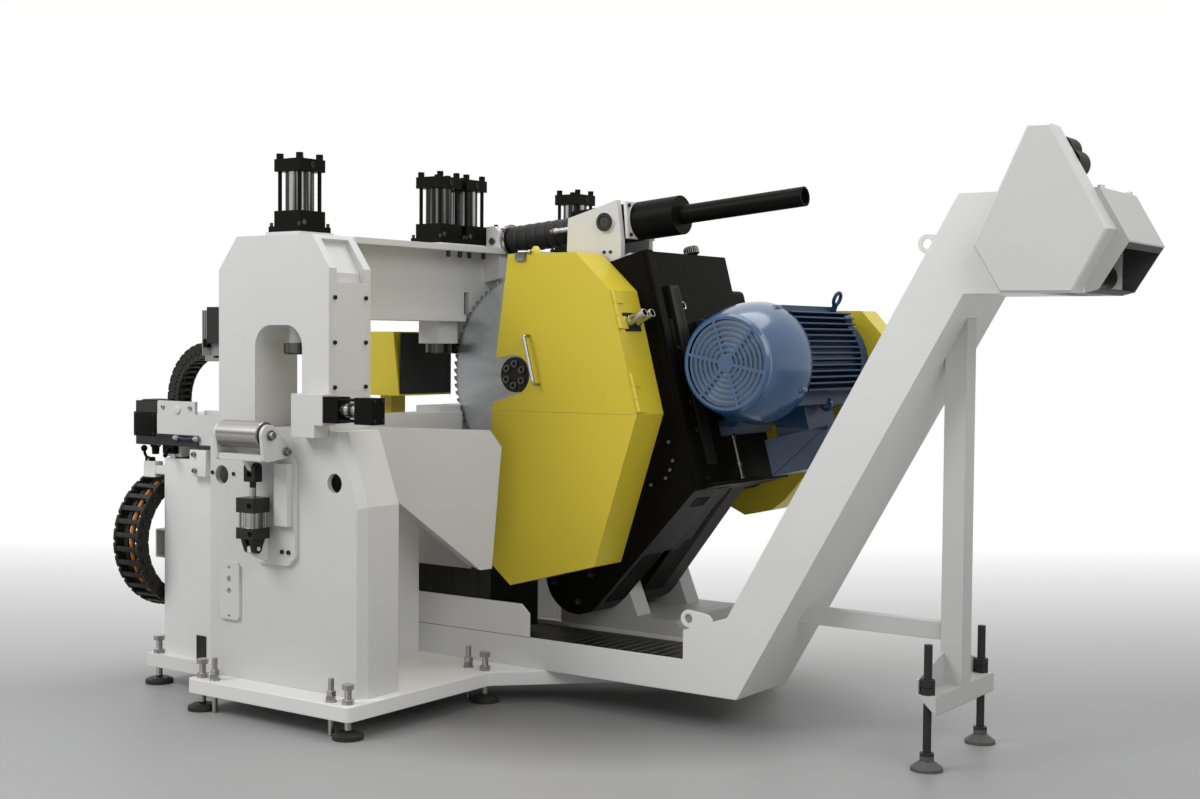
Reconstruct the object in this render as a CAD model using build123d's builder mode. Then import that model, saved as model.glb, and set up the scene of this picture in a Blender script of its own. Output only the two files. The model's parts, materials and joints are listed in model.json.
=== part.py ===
from build123d import *
import os
from math import atan2, cos, degrees, hypot, radians, sin

# Rail saw. X runs across the rail, Y along it, Z up from the floor. The blade cuts in the plane Y = 0.

# Fits and gaps
RUN = 0.05            # radial play of a shaft in its bearing
GAP = 0.3             # gap beside a sliding or turning face
OPEN_PLAY = 3.0       # radial play at the joint where a closed linkage is opened

# Overall reach
REACH_X = 1780.0      # cable chain on one side, discharge hood on the other

# Floor and base plates
FLOOR_GAP = 64.0
BASE_T = 50.0
BASE_HALF = 1020.0
BASE_LEFT = -1220.0
BASE_RIGHT = -440.0
WING_START = -301.0
WING_RIGHT = 180.0
BASE_CORNER = 20.0
BASE_TOP = FLOOR_GAP + BASE_T
SIDE_PLATE_HALF = BASE_HALF - 218.0
FOOT_INSET = 42.0
PAD_R = 52.0
PAD_H = 22.0
JACK_R = 12.0
JACK_TOP = BASE_TOP + 66.0
ANCHOR_R = 10.0
ANCHOR_INSET = 35.0

# Rail line
RAIL_X = -879.0
SEAT_Z = 1056.0
BED_W = 140.0
BED_TOP = SEAT_Z - 25.0
BED_BOTTOM = 860.0
BLADE_GAP = 14.0      # half width of every slot the blade runs in

# Pedestals
PED_FRONT = BASE_HALF - 110.0
PED_DEPTH = 175.0
PED_BACK = PED_FRONT - PED_DEPTH
PED_RIGHT = -482.0
PED_KNEE = 752.0
PED_SHOULDER = -574.0
PED_TOP = SEAT_Z - 56.0
PED_WALL = 20.0
PED_BEVEL = 27.0
PED_HOLE_R = 33.0
PED_HOLE_Z = PED_TOP - 174.0

# Portals
PORTAL_LEFT = -1176.0
PORTAL_RIGHT = -639.0
PORTAL_DEPTH = 201.0
PORTAL_BACK = PED_FRONT - PORTAL_DEPTH
PORTAL_TOP = 1662.0
PORTAL_CUT_Z = 116.0
PORTAL_CUT_L = 91.0
PORTAL_CUT_R = 83.0
ARCH_LEFT = -993.0
ARCH_RIGHT = -765.0
ARCH_TOP = 1354.0
ARCH_R = 75.0
COVER_T = 12.0
COVER_LOW = 1128.0
COVER_HIGH = 1500.0
PORTAL_MID = (PED_FRONT + PORTAL_BACK) / 2

# Bridge beam
BEAM_PLATE_W = 338.0
BEAM_PLATE_T = 22.0
BEAM_WEB_W = 152.0
BEAM_WALL = 20.0
BEAM_FLANGE_W = 172.0
BEAM_FLANGE_T = 27.0
BEAM_LOW = 1378.0
BEAM_SLOT_TOP = 1490.0

# Vertical clamps
PAIR_HALF = 77.0      # half pitch of the two clamps beside the blade
CLAMP_STROKE = 40.0
SEAT_PAD_T = 12.0
FLANGE_W = 150.0
FLANGE_T = 20.0
HEAD_W = 123.0
HEAD_H = 54.0
BARREL_R = 50.0
BARREL_BORE = 42.0
BARREL_H = 135.0
CAP_H = 43.0
TIE_R = 7.0
NUT_H = 19.0
ROD_R = 18.0
CLAMP_PAD_R = 55.0
CLAMP_PAD_H = 39.0
GUIDE_LOW = 1293.0
GUIDE_W = 100.0
GUIDE_BOSS_R = 36.0

# Side clamp
SIDE_Y = -PED_FRONT - 33.0
SIDE_Z = 1075.0
SIDE_BLOCK_L = -748.0
SIDE_BLOCK_R = -604.0
SIDE_BLOCK_T = 67.0
SIDE_HEAD_L = 66.0
SIDE_BARREL_L = 75.0
SIDE_CAP_L = 79.0
SIDE_HEAD_H = 87.0
SIDE_HEAD_W = 60.0
SIDE_BARREL_R = 25.0
SIDE_ROD_R = 15.0
SIDE_STROKE = 50.0
SIDE_BARREL_X = SIDE_BLOCK_R + SIDE_HEAD_L
SIDE_CAP_X = SIDE_BARREL_X + SIDE_BARREL_L

# Lift roller
ROLLER_Y = -PED_FRONT - 110.0
ROLLER_Z = 984.0
ROLLER_R = 46.0
ROLLER_L = 200.0
ROLLER_X = -923.0
ARM_T = 15.0
ARM_GAP = 5.0
ARM_Y = -PED_FRONT - 40.0
ARM_Z = 926.0
LINK_Y = -PED_FRONT - 75.0
LINK_Z = 868.0
LIFT_Z = 592.0
LIFT_PLATE_T = 14.0
REACH_Y = ROLLER_R - ROLLER_Y

# Saw head, drawn in its own tilted frame with the pivot at the centre
PIVOT_X = -301.0
PIVOT_Z = 432.0
TILT = 15.2
PIVOT_R = 45.0
HUB_R = 139.0
HEAD_FACE = 586.0
HEAD_BOTTOM = 204.0
HEAD_TOP = 1087.0
HEAD_FRONT = 40.0
HEAD_BACK = 620.0
ARM_FRONT_BACK = 200.0
ARM_MID_FRONT = 300.0
ARM_MID_BACK = 550.0
LUG_T = 90.0
LUG_GAP = 5.0
SPINDLE_U = 35.5
SPINDLE_W = 767.6
SPINDLE_R = 45.0
BLADE_R = 393.0
BLADE_T = 8.0
TEETH = 84
TOOTH_H = 13.0
FLANGE_R = 65.0
BACK_FLANGE_R = 100.0

# Blade guard
GUARD_FRONT = -130.0
GUARD_T = 4.0
GUARD = [(122, 1202), (416, 1123), (528, 951), (528, 499), (213, 18), (-179, 20), (-258, 129), (-97, 665), (-12, 892)]
NOTCH_R = 72.0
HINGE_R = 8.0

# Motor and belt drive
MOTOR_PLATE_T = 12.0
MOTOR_H = 234.0
MOTOR_U = HEAD_FACE + MOTOR_PLATE_T + MOTOR_H
MOTOR_W = 606.0
MOTOR_R = 185.0
CORE_R = 160.0
FAN_FACE = 20.0
COWL_L = 215.0
COWL_R = 173.0
COWL_BACK_R = MOTOR_R + 34.0
COWL_T = 4.0
MOTOR_END = 810.0
FIN_PITCH = 22.0
FIN_T = 6.0
MOTOR_SHAFT_R = 30.0
FOOT_HALF = 190.0
BOX_FRONT = 350.0
BOX_BACK = 650.0
BOX_TOP = 340.0
INPUT_U = 375.0
INPUT_W = 310.0
INPUT_R = 35.0
QUILL_R = 105.0
PULLEY_SMALL = 95.0
PULLEY_LARGE = 165.0
BELT_T = 12.0
BELT_W = 76.0
BELT_GUARD_L = 120.0
BELT_GUARD_T = 4.0

# Feed drive on top
FEED_Y = 160.0
BRACKET_X = -760.0
BRACKET_Z = 1690.0
NUT_X = -191.0
NUT_Z = 1742.0
SCREW_R = 22.0
NUT_BORE = SCREW_R + 6.0
NUT_BLOCK_W = 150.0
NUT_BLOCK_H = 126.0
CHEEK_T = 25.0
CHEEK_IN = NUT_BLOCK_W / 2 + 5.0
DRIVE_R = 71.0
TUBE_R = 34.5
BELLOWS_R = 52.0
FEED_PIN_R = 20.0

# Chip conveyor
CONV_NEAR = -154.0
CONV_FAR = 192.0
CONV_MID = (CONV_NEAR + CONV_FAR) / 2
CONV_T = 6.0
CONV_LEFT = -930.0
CONV_WALL = 226.0
CONV_FLAP = 345.0
CONV_FLAP_END = -370.0
CONV_MOUTH = 291.0
CONV_KNEE = 503.0
CONV_SLOPE = 60.0
CONV_BEND_LOW = 1462.0
CONV_HEAD_TOP = 1767.0
CONV_HEAD_END = REACH_X - 125.0
SLAT_T = 10.0
LOOP_H = 84.0
LOOP_LIFT = 14.0      # bottom of the belt loop above the floor of the casing
DRUM_SHAFT_R = 18.0
DRUM_R = LOOP_H / 2 - SLAT_T - GAP
DRUM_X = CONV_HEAD_END - 12 - LOOP_H / 2
DRUM_Z = CONV_BEND_LOW + LOOP_LIFT + LOOP_H / 2
STAND_X = 1204.0
LEG_W = 72.0
LEG_LOW = 234.0
FOOT_SPREAD = 213.0
FOOT_STUD_R = 13.0

# Feed carriage beside the rail
SIDE_LEFT = 154.0 - REACH_X
SIDE_RIGHT = BASE_LEFT - 20.0
SIDE_PLATE_LEFT = SIDE_LEFT - 73.0
SIDE_FRONT = 26.0 - SIDE_PLATE_HALF
SIDE_TOP = 856.0
SLIDE_W = 28.0
SLIDE_H = 28.0
SLIDE_X = (SIDE_LEFT + 46.0, SIDE_RIGHT - 60.0)
CARRIAGE_FRONT = -SIDE_PLATE_HALF
CARRIAGE_L = 302.0
CARRIAGE_BACK = CARRIAGE_FRONT + CARRIAGE_L
CROSS_TOP = 1024.0    # top of the carriage's cross beam
CHAIN_LEFT = -REACH_X
CHAIN_W = 140.0
CHAIN_Y = CARRIAGE_BACK - 123.0
CHAIN_Z = 540.0
CHAIN_R = 215.0
CHAIN_H = 55.0
CHAIN_END = 30.0
LINK_PITCH = 48.0

# Gripper slide on the carriage, with its own small chain
GRIP_X = PORTAL_LEFT - 19.0
GRIP_T = 12.0
GRIP_LOW = 1243.0
GRIP_HIGH = 1409.0
COLUMN_W = 95.0
CROSS_R = 0.371 * (GRIP_X - SIDE_LEFT)
CROSS_H = 0.13 * (GRIP_X - SIDE_LEFT)
CROSS_W = 70.0
CROSS_X = SIDE_LEFT + 27.0 + CROSS_R + CROSS_H
GRIP_REACH = GRIP_X - CROSS_X + 10.0
CROSS_Y = CARRIAGE_FRONT + 17.0
CROSS_Z = 1075.0
CROSS_BAND = 12.0


def facing(y):
    """Upright plane across the rail line, seen from the infeed end."""
    return Plane(origin=(0, y, 0), x_dir=(1, 0, 0), z_dir=(0, -1, 0))


def along(x):
    """Upright plane along the rail line, seen from the motor side."""
    return Plane(origin=(x, 0, 0), x_dir=(0, 1, 0), z_dir=(1, 0, 0))


def head(y):
    """Plane of the tilted saw head with the pivot at its centre."""
    t = radians(TILT)
    return Plane(origin=(PIVOT_X, y, PIVOT_Z), x_dir=(cos(t), 0, sin(t)), z_dir=(0, -1, 0))


def head_point(u, w, y=0.0):
    """Point of the saw head in the room."""
    return head(y).from_local_coords(Vector(u, w, 0))


# Standing points of the main plate, the side plate and the anchors
PIVOT_BACK = ARM_MID_BACK + LUG_GAP + LUG_T + 45
WING_CUT = BASE_HALF - PIVOT_BACK - 30
JACKS = [
    (BASE_RIGHT - FOOT_INSET, -BASE_HALF + FOOT_INSET),
    (BASE_LEFT + FOOT_INSET - 6, -BASE_HALF + FOOT_INSET),
    (BASE_RIGHT - FOOT_INSET + 8, WING_START + 22),
    (BASE_LEFT + FOOT_INSET - 6, BASE_HALF - FOOT_INSET),
    (WING_RIGHT - WING_CUT - 20, BASE_HALF - FOOT_INSET),
    (WING_RIGHT - FOOT_INSET - 3, PIVOT_BACK + FOOT_INSET),
]
SIDE_JACKS = [
    (SIDE_PLATE_LEFT + FOOT_INSET, -SIDE_PLATE_HALF + FOOT_INSET - 16),
    (SIDE_PLATE_LEFT + FOOT_INSET, SIDE_PLATE_HALF - FOOT_INSET + 16),
]
ANCHORS = [
    (BASE_RIGHT - 112, -BASE_HALF + ANCHOR_INSET),
    (BASE_LEFT + 106, -BASE_HALF + ANCHOR_INSET),
    (BASE_RIGHT - 116, WING_START + 27),
    (BASE_RIGHT - 112, BASE_HALF - ANCHOR_INSET),
    (BASE_LEFT + 106, BASE_HALF - ANCHOR_INSET),
]

# Main base plate
with BuildPart() as base_plate:
    with BuildSketch(Plane.XY.offset(FLOOR_GAP)) as base_outline:
        with BuildLine():
            Polyline(
                (BASE_LEFT, -BASE_HALF),
                (BASE_RIGHT, -BASE_HALF),
                (BASE_RIGHT, WING_START),
                (WING_RIGHT, WING_START + WING_RIGHT - BASE_RIGHT),
                (WING_RIGHT, BASE_HALF - WING_CUT),
                (WING_RIGHT - WING_CUT, BASE_HALF),
                (BASE_LEFT, BASE_HALF),
                close=True,
            )
        make_face()
        fillet(base_outline.vertices(), BASE_CORNER)
        with Locations(*JACKS):
            Circle(JACK_R + 1, mode=Mode.SUBTRACT)
        with Locations(*ANCHORS):
            Circle(ANCHOR_R + 1, mode=Mode.SUBTRACT)
    extrude(amount=BASE_T)
    chamfer(faces().sort_by(Axis.Z)[-1].outer_wire().edges(), 2)

# Levelling feet: pad, jack screw, lock nut and hexagon head, and the two long ones of the conveyor
with BuildPart() as levelling_feet:
    for x, y in JACKS + SIDE_JACKS:
        with Locations((x, y, 0)):
            Cylinder(PAD_R, PAD_H * 0.7, align=(Align.CENTER, Align.CENTER, Align.MIN))
        with Locations((x, y, PAD_H * 0.7)):
            Cone(PAD_R, PAD_R * 0.7, PAD_H * 0.3, align=(Align.CENTER, Align.CENTER, Align.MIN))
        with Locations((x, y, PAD_H)):
            Cylinder(JACK_R, JACK_TOP - PAD_H, align=(Align.CENTER, Align.CENTER, Align.MIN))
        with BuildSketch(Plane.XY.offset(BASE_TOP)):
            with Locations((x, y)):
                RegularPolygon(JACK_R * 1.55, 6, major_radius=False)
        extrude(amount=JACK_R * 1.3)
        with BuildSketch(Plane.XY.offset(JACK_TOP - JACK_R * 1.4)):
            with Locations((x, y)):
                RegularPolygon(JACK_R * 1.55, 6, major_radius=False)
        extrude(amount=JACK_R * 1.4)
    for y in (CONV_MID - FOOT_SPREAD, CONV_MID + FOOT_SPREAD):
        with Locations((STAND_X, y, 0)):
            Cylinder(50, 10, align=(Align.CENTER, Align.CENTER, Align.MIN))
        with Locations((STAND_X, y, 10)):
            Cone(50, 20, 22, align=(Align.CENTER, Align.CENTER, Align.MIN))
        with Locations((STAND_X, y, 30)):
            Cylinder(FOOT_STUD_R, 358, align=(Align.CENTER, Align.CENTER, Align.MIN))
        for z in (32, LEG_LOW, LEG_LOW + 24):
            with BuildSketch(Plane.XY.offset(z)):
                with Locations((STAND_X, y)):
                    RegularPolygon(FOOT_STUD_R * 1.6, 6, major_radius=False)
            extrude(amount=22)

# Anchor studs with washer and double nuts
with BuildPart() as anchor_studs:
    for x, y in ANCHORS:
        with Locations((x, y, 0)):
            Cylinder(ANCHOR_R, BASE_TOP + 78, align=(Align.CENTER, Align.CENTER, Align.MIN))
        with Locations((x, y, BASE_TOP)):
            Cylinder(ANCHOR_R * 2, 4, align=(Align.CENTER, Align.CENTER, Align.MIN))
        with BuildSketch(Plane.XY.offset(BASE_TOP + 4)):
            with Locations((x, y)):
                RegularPolygon(ANCHOR_R * 1.5, 6, major_radius=False)
        extrude(amount=ANCHOR_R * 1.6)
        with BuildSketch(Plane.XY.offset(BASE_TOP + 4 + ANCHOR_R * 1.7)):
            with Locations((x, y)):
                RegularPolygon(ANCHOR_R * 1.5, 6, rotation=20, major_radius=False)
        extrude(amount=ANCHOR_R * 1.6)

# Infeed pedestal: welded box with a bevelled right shoulder
with BuildPart() as infeed_pedestal:
    with BuildSketch(facing(-PED_BACK)):
        with BuildLine():
            Polyline(
                (BASE_LEFT, BASE_TOP),
                (PED_RIGHT, BASE_TOP),
                (PED_RIGHT, PED_KNEE),
                (PED_SHOULDER, PED_TOP),
                (BASE_LEFT + 22, PED_TOP),
                (BASE_LEFT, PED_TOP - 58),
                close=True,
            )
        make_face()
    extrude(amount=PED_DEPTH)
    front_edges = faces().sort_by(Axis.Y)[0].edges()
    chamfer(front_edges.filter_by(lambda e: e.center().X > PED_SHOULDER), PED_BEVEL)
    with BuildSketch(facing(-PED_BACK - PED_WALL)):
        with BuildLine():
            Polyline(
                (BASE_LEFT + PED_WALL, BASE_TOP + PED_WALL),
                (PED_RIGHT - PED_BEVEL - PED_WALL, BASE_TOP + PED_WALL),
                (PED_RIGHT - PED_BEVEL - PED_WALL, PED_KNEE - PED_WALL),
                (PED_SHOULDER - PED_BEVEL - PED_WALL, PED_TOP - PED_WALL),
                (BASE_LEFT + 22 + PED_WALL, PED_TOP - PED_WALL),
                (BASE_LEFT + PED_WALL, PED_TOP - 58 - PED_WALL),
                close=True,
            )
        make_face()
    extrude(amount=PED_DEPTH - 2 * PED_WALL, mode=Mode.SUBTRACT)
    with BuildSketch(facing(-PED_FRONT + PED_WALL)):
        with Locations((PED_RIGHT - 130, PED_HOLE_Z), (BASE_LEFT + 59, PED_HOLE_Z)):
            Circle(PED_HOLE_R)
    extrude(amount=PED_WALL, mode=Mode.SUBTRACT)

# Outfeed pedestal, the mirror image
with BuildPart() as outfeed_pedestal:
    add(mirror(infeed_pedestal.part, about=Plane.XZ))

# Infeed portal: thick arch over the rail
slope_len = hypot(PORTAL_CUT_R, PORTAL_CUT_Z)
slope_u = (PORTAL_CUT_R / slope_len, -PORTAL_CUT_Z / slope_len)
slope_n = (slope_u[1], -slope_u[0])
slope_top = (PORTAL_RIGHT - PORTAL_CUT_R, PORTAL_TOP)
POCKET = 20.0
POCKET_RIM = 35.0
with BuildPart() as infeed_portal:
    with BuildSketch(facing(-PORTAL_BACK)):
        with BuildLine():
            Polyline(
                (PORTAL_LEFT, PED_TOP),
                (PORTAL_RIGHT, PED_TOP),
                (PORTAL_RIGHT, PORTAL_TOP - PORTAL_CUT_Z),
                slope_top,
                (PORTAL_LEFT + PORTAL_CUT_L, PORTAL_TOP),
                (PORTAL_LEFT, PORTAL_TOP - PORTAL_CUT_Z),
                close=True,
            )
        make_face()
        with BuildSketch(facing(-PORTAL_BACK), mode=Mode.PRIVATE) as arch:
            with Locations(((ARCH_LEFT + ARCH_RIGHT) / 2, ARCH_TOP - 300)):
                Rectangle(ARCH_RIGHT - ARCH_LEFT, 600)
            fillet(arch.vertices().group_by(Axis.Y)[-1], ARCH_R)
        add(arch.sketch, mode=Mode.SUBTRACT)
    extrude(amount=PORTAL_DEPTH)
    with BuildSketch(facing(-PORTAL_BACK - POCKET_RIM)):
        start = (slope_top[0] + slope_u[0] * 18, slope_top[1] + slope_u[1] * 18)
        with BuildLine():
            Polyline(
                start,
                (start[0] + slope_n[0] * POCKET, start[1] + slope_n[1] * POCKET),
                (PORTAL_RIGHT - POCKET, PORTAL_TOP - PORTAL_CUT_Z - POCKET * 0.7),
                (PORTAL_RIGHT - POCKET, COVER_HIGH),
                (PORTAL_RIGHT + 40, COVER_HIGH),
                (PORTAL_RIGHT + 40, start[1]),
                close=True,
            )
        make_face()
    extrude(amount=PORTAL_DEPTH - 2 * POCKET_RIM, mode=Mode.SUBTRACT)
    with BuildSketch(along(PORTAL_RIGHT - COVER_T)):
        with Locations((-PORTAL_MID, (COVER_LOW + COVER_HIGH) / 2)):
            Rectangle(PORTAL_DEPTH - 24, COVER_HIGH - COVER_LOW)
    extrude(amount=COVER_T, mode=Mode.SUBTRACT)
    with BuildSketch(Plane.XY.offset(PORTAL_TOP)):
        with Locations((RAIL_X, -PORTAL_MID)):
            Rectangle(FLANGE_W + 14, FLANGE_W + 14)
    extrude(amount=SEAT_PAD_T)
    with BuildSketch(Plane.XY.offset(ARCH_TOP - 100)):
        with Locations((RAIL_X, -PORTAL_MID)):
            Circle(ROD_R + GAP)
    extrude(amount=PORTAL_TOP + SEAT_PAD_T - ARCH_TOP + 100, mode=Mode.SUBTRACT)

# Outfeed portal, the mirror image
with BuildPart() as outfeed_portal:
    add(mirror(infeed_portal.part, about=Plane.XZ))

# Cover plates: one let into each portal, a small one on the infeed pedestal
PLATE_X = BASE_LEFT + 106
PLATE_Z = BASE_TOP + 305
with BuildPart() as cover_plates:
    with BuildSketch(along(PORTAL_RIGHT - COVER_T)):
        with Locations(
            (-PORTAL_MID, (COVER_LOW + COVER_HIGH) / 2),
            (PORTAL_MID, (COVER_LOW + COVER_HIGH) / 2),
        ):
            Rectangle(PORTAL_DEPTH - 24, COVER_HIGH - COVER_LOW)
    extrude(amount=COVER_T)
    with BuildSketch(facing(-PED_FRONT)) as plate_outline:
        with Locations((PLATE_X, PLATE_Z)):
            Rectangle(102, 202)
        chamfer(plate_outline.vertices(), 12)
        with Locations((PLATE_X, PLATE_Z + 84), (PLATE_X, PLATE_Z - 88)):
            Circle(5, mode=Mode.SUBTRACT)
        with Locations((PLATE_X, PLATE_Z + 42), (PLATE_X, PLATE_Z)):
            Circle(11, mode=Mode.SUBTRACT)
    extrude(amount=10)

# Bridge beam: box girder between the portals with a slot for the blade
with BuildPart() as bridge_beam:
    with BuildSketch(facing(PORTAL_BACK)):
        with Locations((RAIL_X, PORTAL_TOP - BEAM_PLATE_T / 2)):
            Rectangle(BEAM_PLATE_W, BEAM_PLATE_T)
        with Locations((RAIL_X, (PORTAL_TOP + BEAM_LOW) / 2)):
            Rectangle(BEAM_WEB_W, PORTAL_TOP - BEAM_LOW - 2)
        with Locations((RAIL_X, BEAM_LOW + BEAM_FLANGE_T / 2)):
            Rectangle(BEAM_FLANGE_W, BEAM_FLANGE_T)
        with Locations((RAIL_X, (PORTAL_TOP - BEAM_PLATE_T + BEAM_LOW + BEAM_FLANGE_T) / 2)):
            Rectangle(
                BEAM_WEB_W - 2 * BEAM_WALL,
                PORTAL_TOP - BEAM_PLATE_T - BEAM_LOW - BEAM_FLANGE_T,
                mode=Mode.SUBTRACT,
            )
    extrude(amount=2 * PORTAL_BACK)
    with BuildSketch(along(RAIL_X - BEAM_PLATE_W)):
        with Locations((0, BEAM_LOW + (BEAM_SLOT_TOP - BEAM_LOW) / 2 - 5)):
            Rectangle(2 * BLADE_GAP, BEAM_SLOT_TOP - BEAM_LOW + 10)
    extrude(amount=2 * BEAM_PLATE_W, mode=Mode.SUBTRACT)
    with BuildSketch(Plane.XY.offset(PORTAL_TOP)):
        with Locations((RAIL_X, 0)):
            Rectangle(FLANGE_W + 14, 2 * PAIR_HALF + FLANGE_W + 14)
    extrude(amount=SEAT_PAD_T)
    with BuildSketch(Plane.XY.offset(BEAM_LOW)):
        with Locations((RAIL_X, -PAIR_HALF), (RAIL_X, PAIR_HALF)):
            Circle(ROD_R + GAP)
    extrude(amount=PORTAL_TOP + SEAT_PAD_T - BEAM_LOW, mode=Mode.SUBTRACT)

# Clamp cylinders: flange heads and end caps, then the side clamp's with its tie rods
CLAMP_Y = [-PORTAL_MID, -PAIR_HALF, PAIR_HALF, PORTAL_MID]
HEAD_Z = PORTAL_TOP + SEAT_PAD_T
BARREL_Z = HEAD_Z + FLANGE_T + HEAD_H
CAP_Z = BARREL_Z + BARREL_H
TIE = HEAD_W / 2 - 14
with BuildPart() as clamp_heads:
    for y in CLAMP_Y:
        with BuildSketch(Plane.XY.offset(HEAD_Z)):
            with Locations((RAIL_X, y)):
                Rectangle(FLANGE_W, FLANGE_W)
                Circle(ROD_R + GAP, mode=Mode.SUBTRACT)
        extrude(amount=FLANGE_T)
        with BuildSketch(Plane.XY.offset(HEAD_Z + FLANGE_T)):
            with Locations((RAIL_X, y)):
                Rectangle(HEAD_W, HEAD_W)
                Circle(ROD_R + GAP, mode=Mode.SUBTRACT)
        extrude(amount=HEAD_H)
        with BuildSketch(Plane.XY.offset(CAP_Z)):
            with Locations((RAIL_X, y)):
                Rectangle(HEAD_W, HEAD_W)
                with GridLocations(2 * TIE, 2 * TIE, 2, 2):
                    Circle(TIE_R, mode=Mode.SUBTRACT)
        extrude(amount=CAP_H)
    with BuildSketch(along(SIDE_BLOCK_R)):
        with Locations((SIDE_Y, SIDE_Z)):
            Rectangle(SIDE_HEAD_W, SIDE_HEAD_H)
            Circle(SIDE_ROD_R + GAP, mode=Mode.SUBTRACT)
    extrude(amount=SIDE_HEAD_L)
    with BuildSketch(along(SIDE_CAP_X)):
        with Locations((SIDE_Y, SIDE_Z)):
            Rectangle(SIDE_HEAD_W, SIDE_HEAD_H)
    extrude(amount=SIDE_CAP_L)
    with BuildSketch(along(SIDE_BARREL_X)):
        with Locations((SIDE_Y, SIDE_Z)):
            with GridLocations(SIDE_HEAD_W - 14, SIDE_HEAD_H - 18, 2, 2):
                Circle(4)
    extrude(amount=SIDE_BARREL_L)
with BuildPart() as clamp_barrels:
    with BuildSketch(Plane.XY.offset(BARREL_Z)):
        with Locations(*[(RAIL_X, y) for y in CLAMP_Y]):
            Circle(BARREL_R)
            Circle(BARREL_BORE, mode=Mode.SUBTRACT)
    extrude(amount=BARREL_H)
    with BuildSketch(along(SIDE_BARREL_X)):
        with Locations((SIDE_Y, SIDE_Z)):
            Circle(SIDE_BARREL_R)
            Circle(SIDE_BARREL_R - 4, mode=Mode.SUBTRACT)
    extrude(amount=SIDE_BARREL_L)
with BuildPart() as clamp_tie_rods:
    for y in CLAMP_Y:
        with BuildSketch(Plane.XY.offset(BARREL_Z)):
            with Locations((RAIL_X, y)):
                with GridLocations(2 * TIE, 2 * TIE, 2, 2):
                    Circle(TIE_R)
        extrude(amount=BARREL_H + CAP_H)
        with BuildSketch(Plane.XY.offset(CAP_Z + CAP_H)):
            with Locations((RAIL_X, y)):
                with GridLocations(2 * TIE, 2 * TIE, 2, 2):
                    RegularPolygon(TIE_R * 1.6, 6, major_radius=False)
        extrude(amount=NUT_H)
with BuildPart() as clamp_guides:
    with BuildSketch(Plane.XY.offset(GUIDE_LOW)):
        with Locations((RAIL_X, -PAIR_HALF), (RAIL_X, PAIR_HALF)):
            Rectangle(GUIDE_W, 2 * (PAIR_HALF - BLADE_GAP - 8))
            Circle(ROD_R + GAP, mode=Mode.SUBTRACT)
    extrude(amount=BEAM_LOW - GUIDE_LOW)
    with BuildSketch(Plane.XY.offset(GUIDE_LOW)):
        with Locations((RAIL_X, -PORTAL_MID), (RAIL_X, PORTAL_MID)):
            Circle(GUIDE_BOSS_R)
            Circle(ROD_R + GAP, mode=Mode.SUBTRACT)
    extrude(amount=ARCH_TOP - GUIDE_LOW)

# Clamp rods, each with its piston and its round pad
clamp_rods = []
for y in CLAMP_Y:
    with BuildPart() as clamp_rod:
        with Locations((RAIL_X, y, GUIDE_LOW - GAP)):
            Cylinder(CLAMP_PAD_R, CLAMP_PAD_H, align=(Align.CENTER, Align.CENTER, Align.MAX))
        chamfer(clamp_rod.edges().group_by(Axis.Z)[0], 5)
        with Locations((RAIL_X, y, GUIDE_LOW - GAP)):
            Cylinder(ROD_R, CAP_Z - 20 - GUIDE_LOW, align=(Align.CENTER, Align.CENTER, Align.MIN))
        with Locations((RAIL_X, y, CAP_Z - 20)):
            Cylinder(BARREL_BORE - GAP, 30, align=(Align.CENTER, Align.CENTER, Align.MAX))
    clamp_rods.append(clamp_rod)

# Side clamp
with BuildPart() as side_clamp_block:
    with BuildSketch(facing(-PED_FRONT)):
        with BuildLine():
            Polyline(
                (SIDE_BLOCK_L, PED_TOP - 20),
                (SIDE_BLOCK_R - 36, PED_TOP - 20),
                (SIDE_BLOCK_R - 36, PED_TOP + 22),
                (SIDE_BLOCK_R, PED_TOP + 22),
                (SIDE_BLOCK_R, PED_TOP + 125),
                (SIDE_BLOCK_L, PED_TOP + 125),
                close=True,
            )
        make_face()
    extrude(amount=SIDE_BLOCK_T)
    with BuildSketch(along(SIDE_BLOCK_L)):
        with Locations((SIDE_Y, SIDE_Z)):
            Circle(SIDE_ROD_R + GAP)
    extrude(amount=SIDE_BLOCK_R - SIDE_BLOCK_L, mode=Mode.SUBTRACT)
with BuildPart() as side_clamp_ram:
    with BuildSketch(along(SIDE_BLOCK_L - GAP)):
        with Locations((SIDE_Y, SIDE_Z)):
            Circle(SIDE_ROD_R)
    extrude(amount=SIDE_CAP_X - 12 - SIDE_BLOCK_L)
    with BuildSketch(along(SIDE_CAP_X - 12 - GAP)):
        with Locations((SIDE_Y, SIDE_Z)):
            Circle(SIDE_BARREL_R - 4 - GAP)
    extrude(amount=-10)
    with BuildSketch(along(SIDE_BLOCK_L - GAP)):
        with Locations((SIDE_Y, SIDE_Z)):
            Circle(SIDE_ROD_R + 8)
    extrude(amount=-12)

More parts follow.
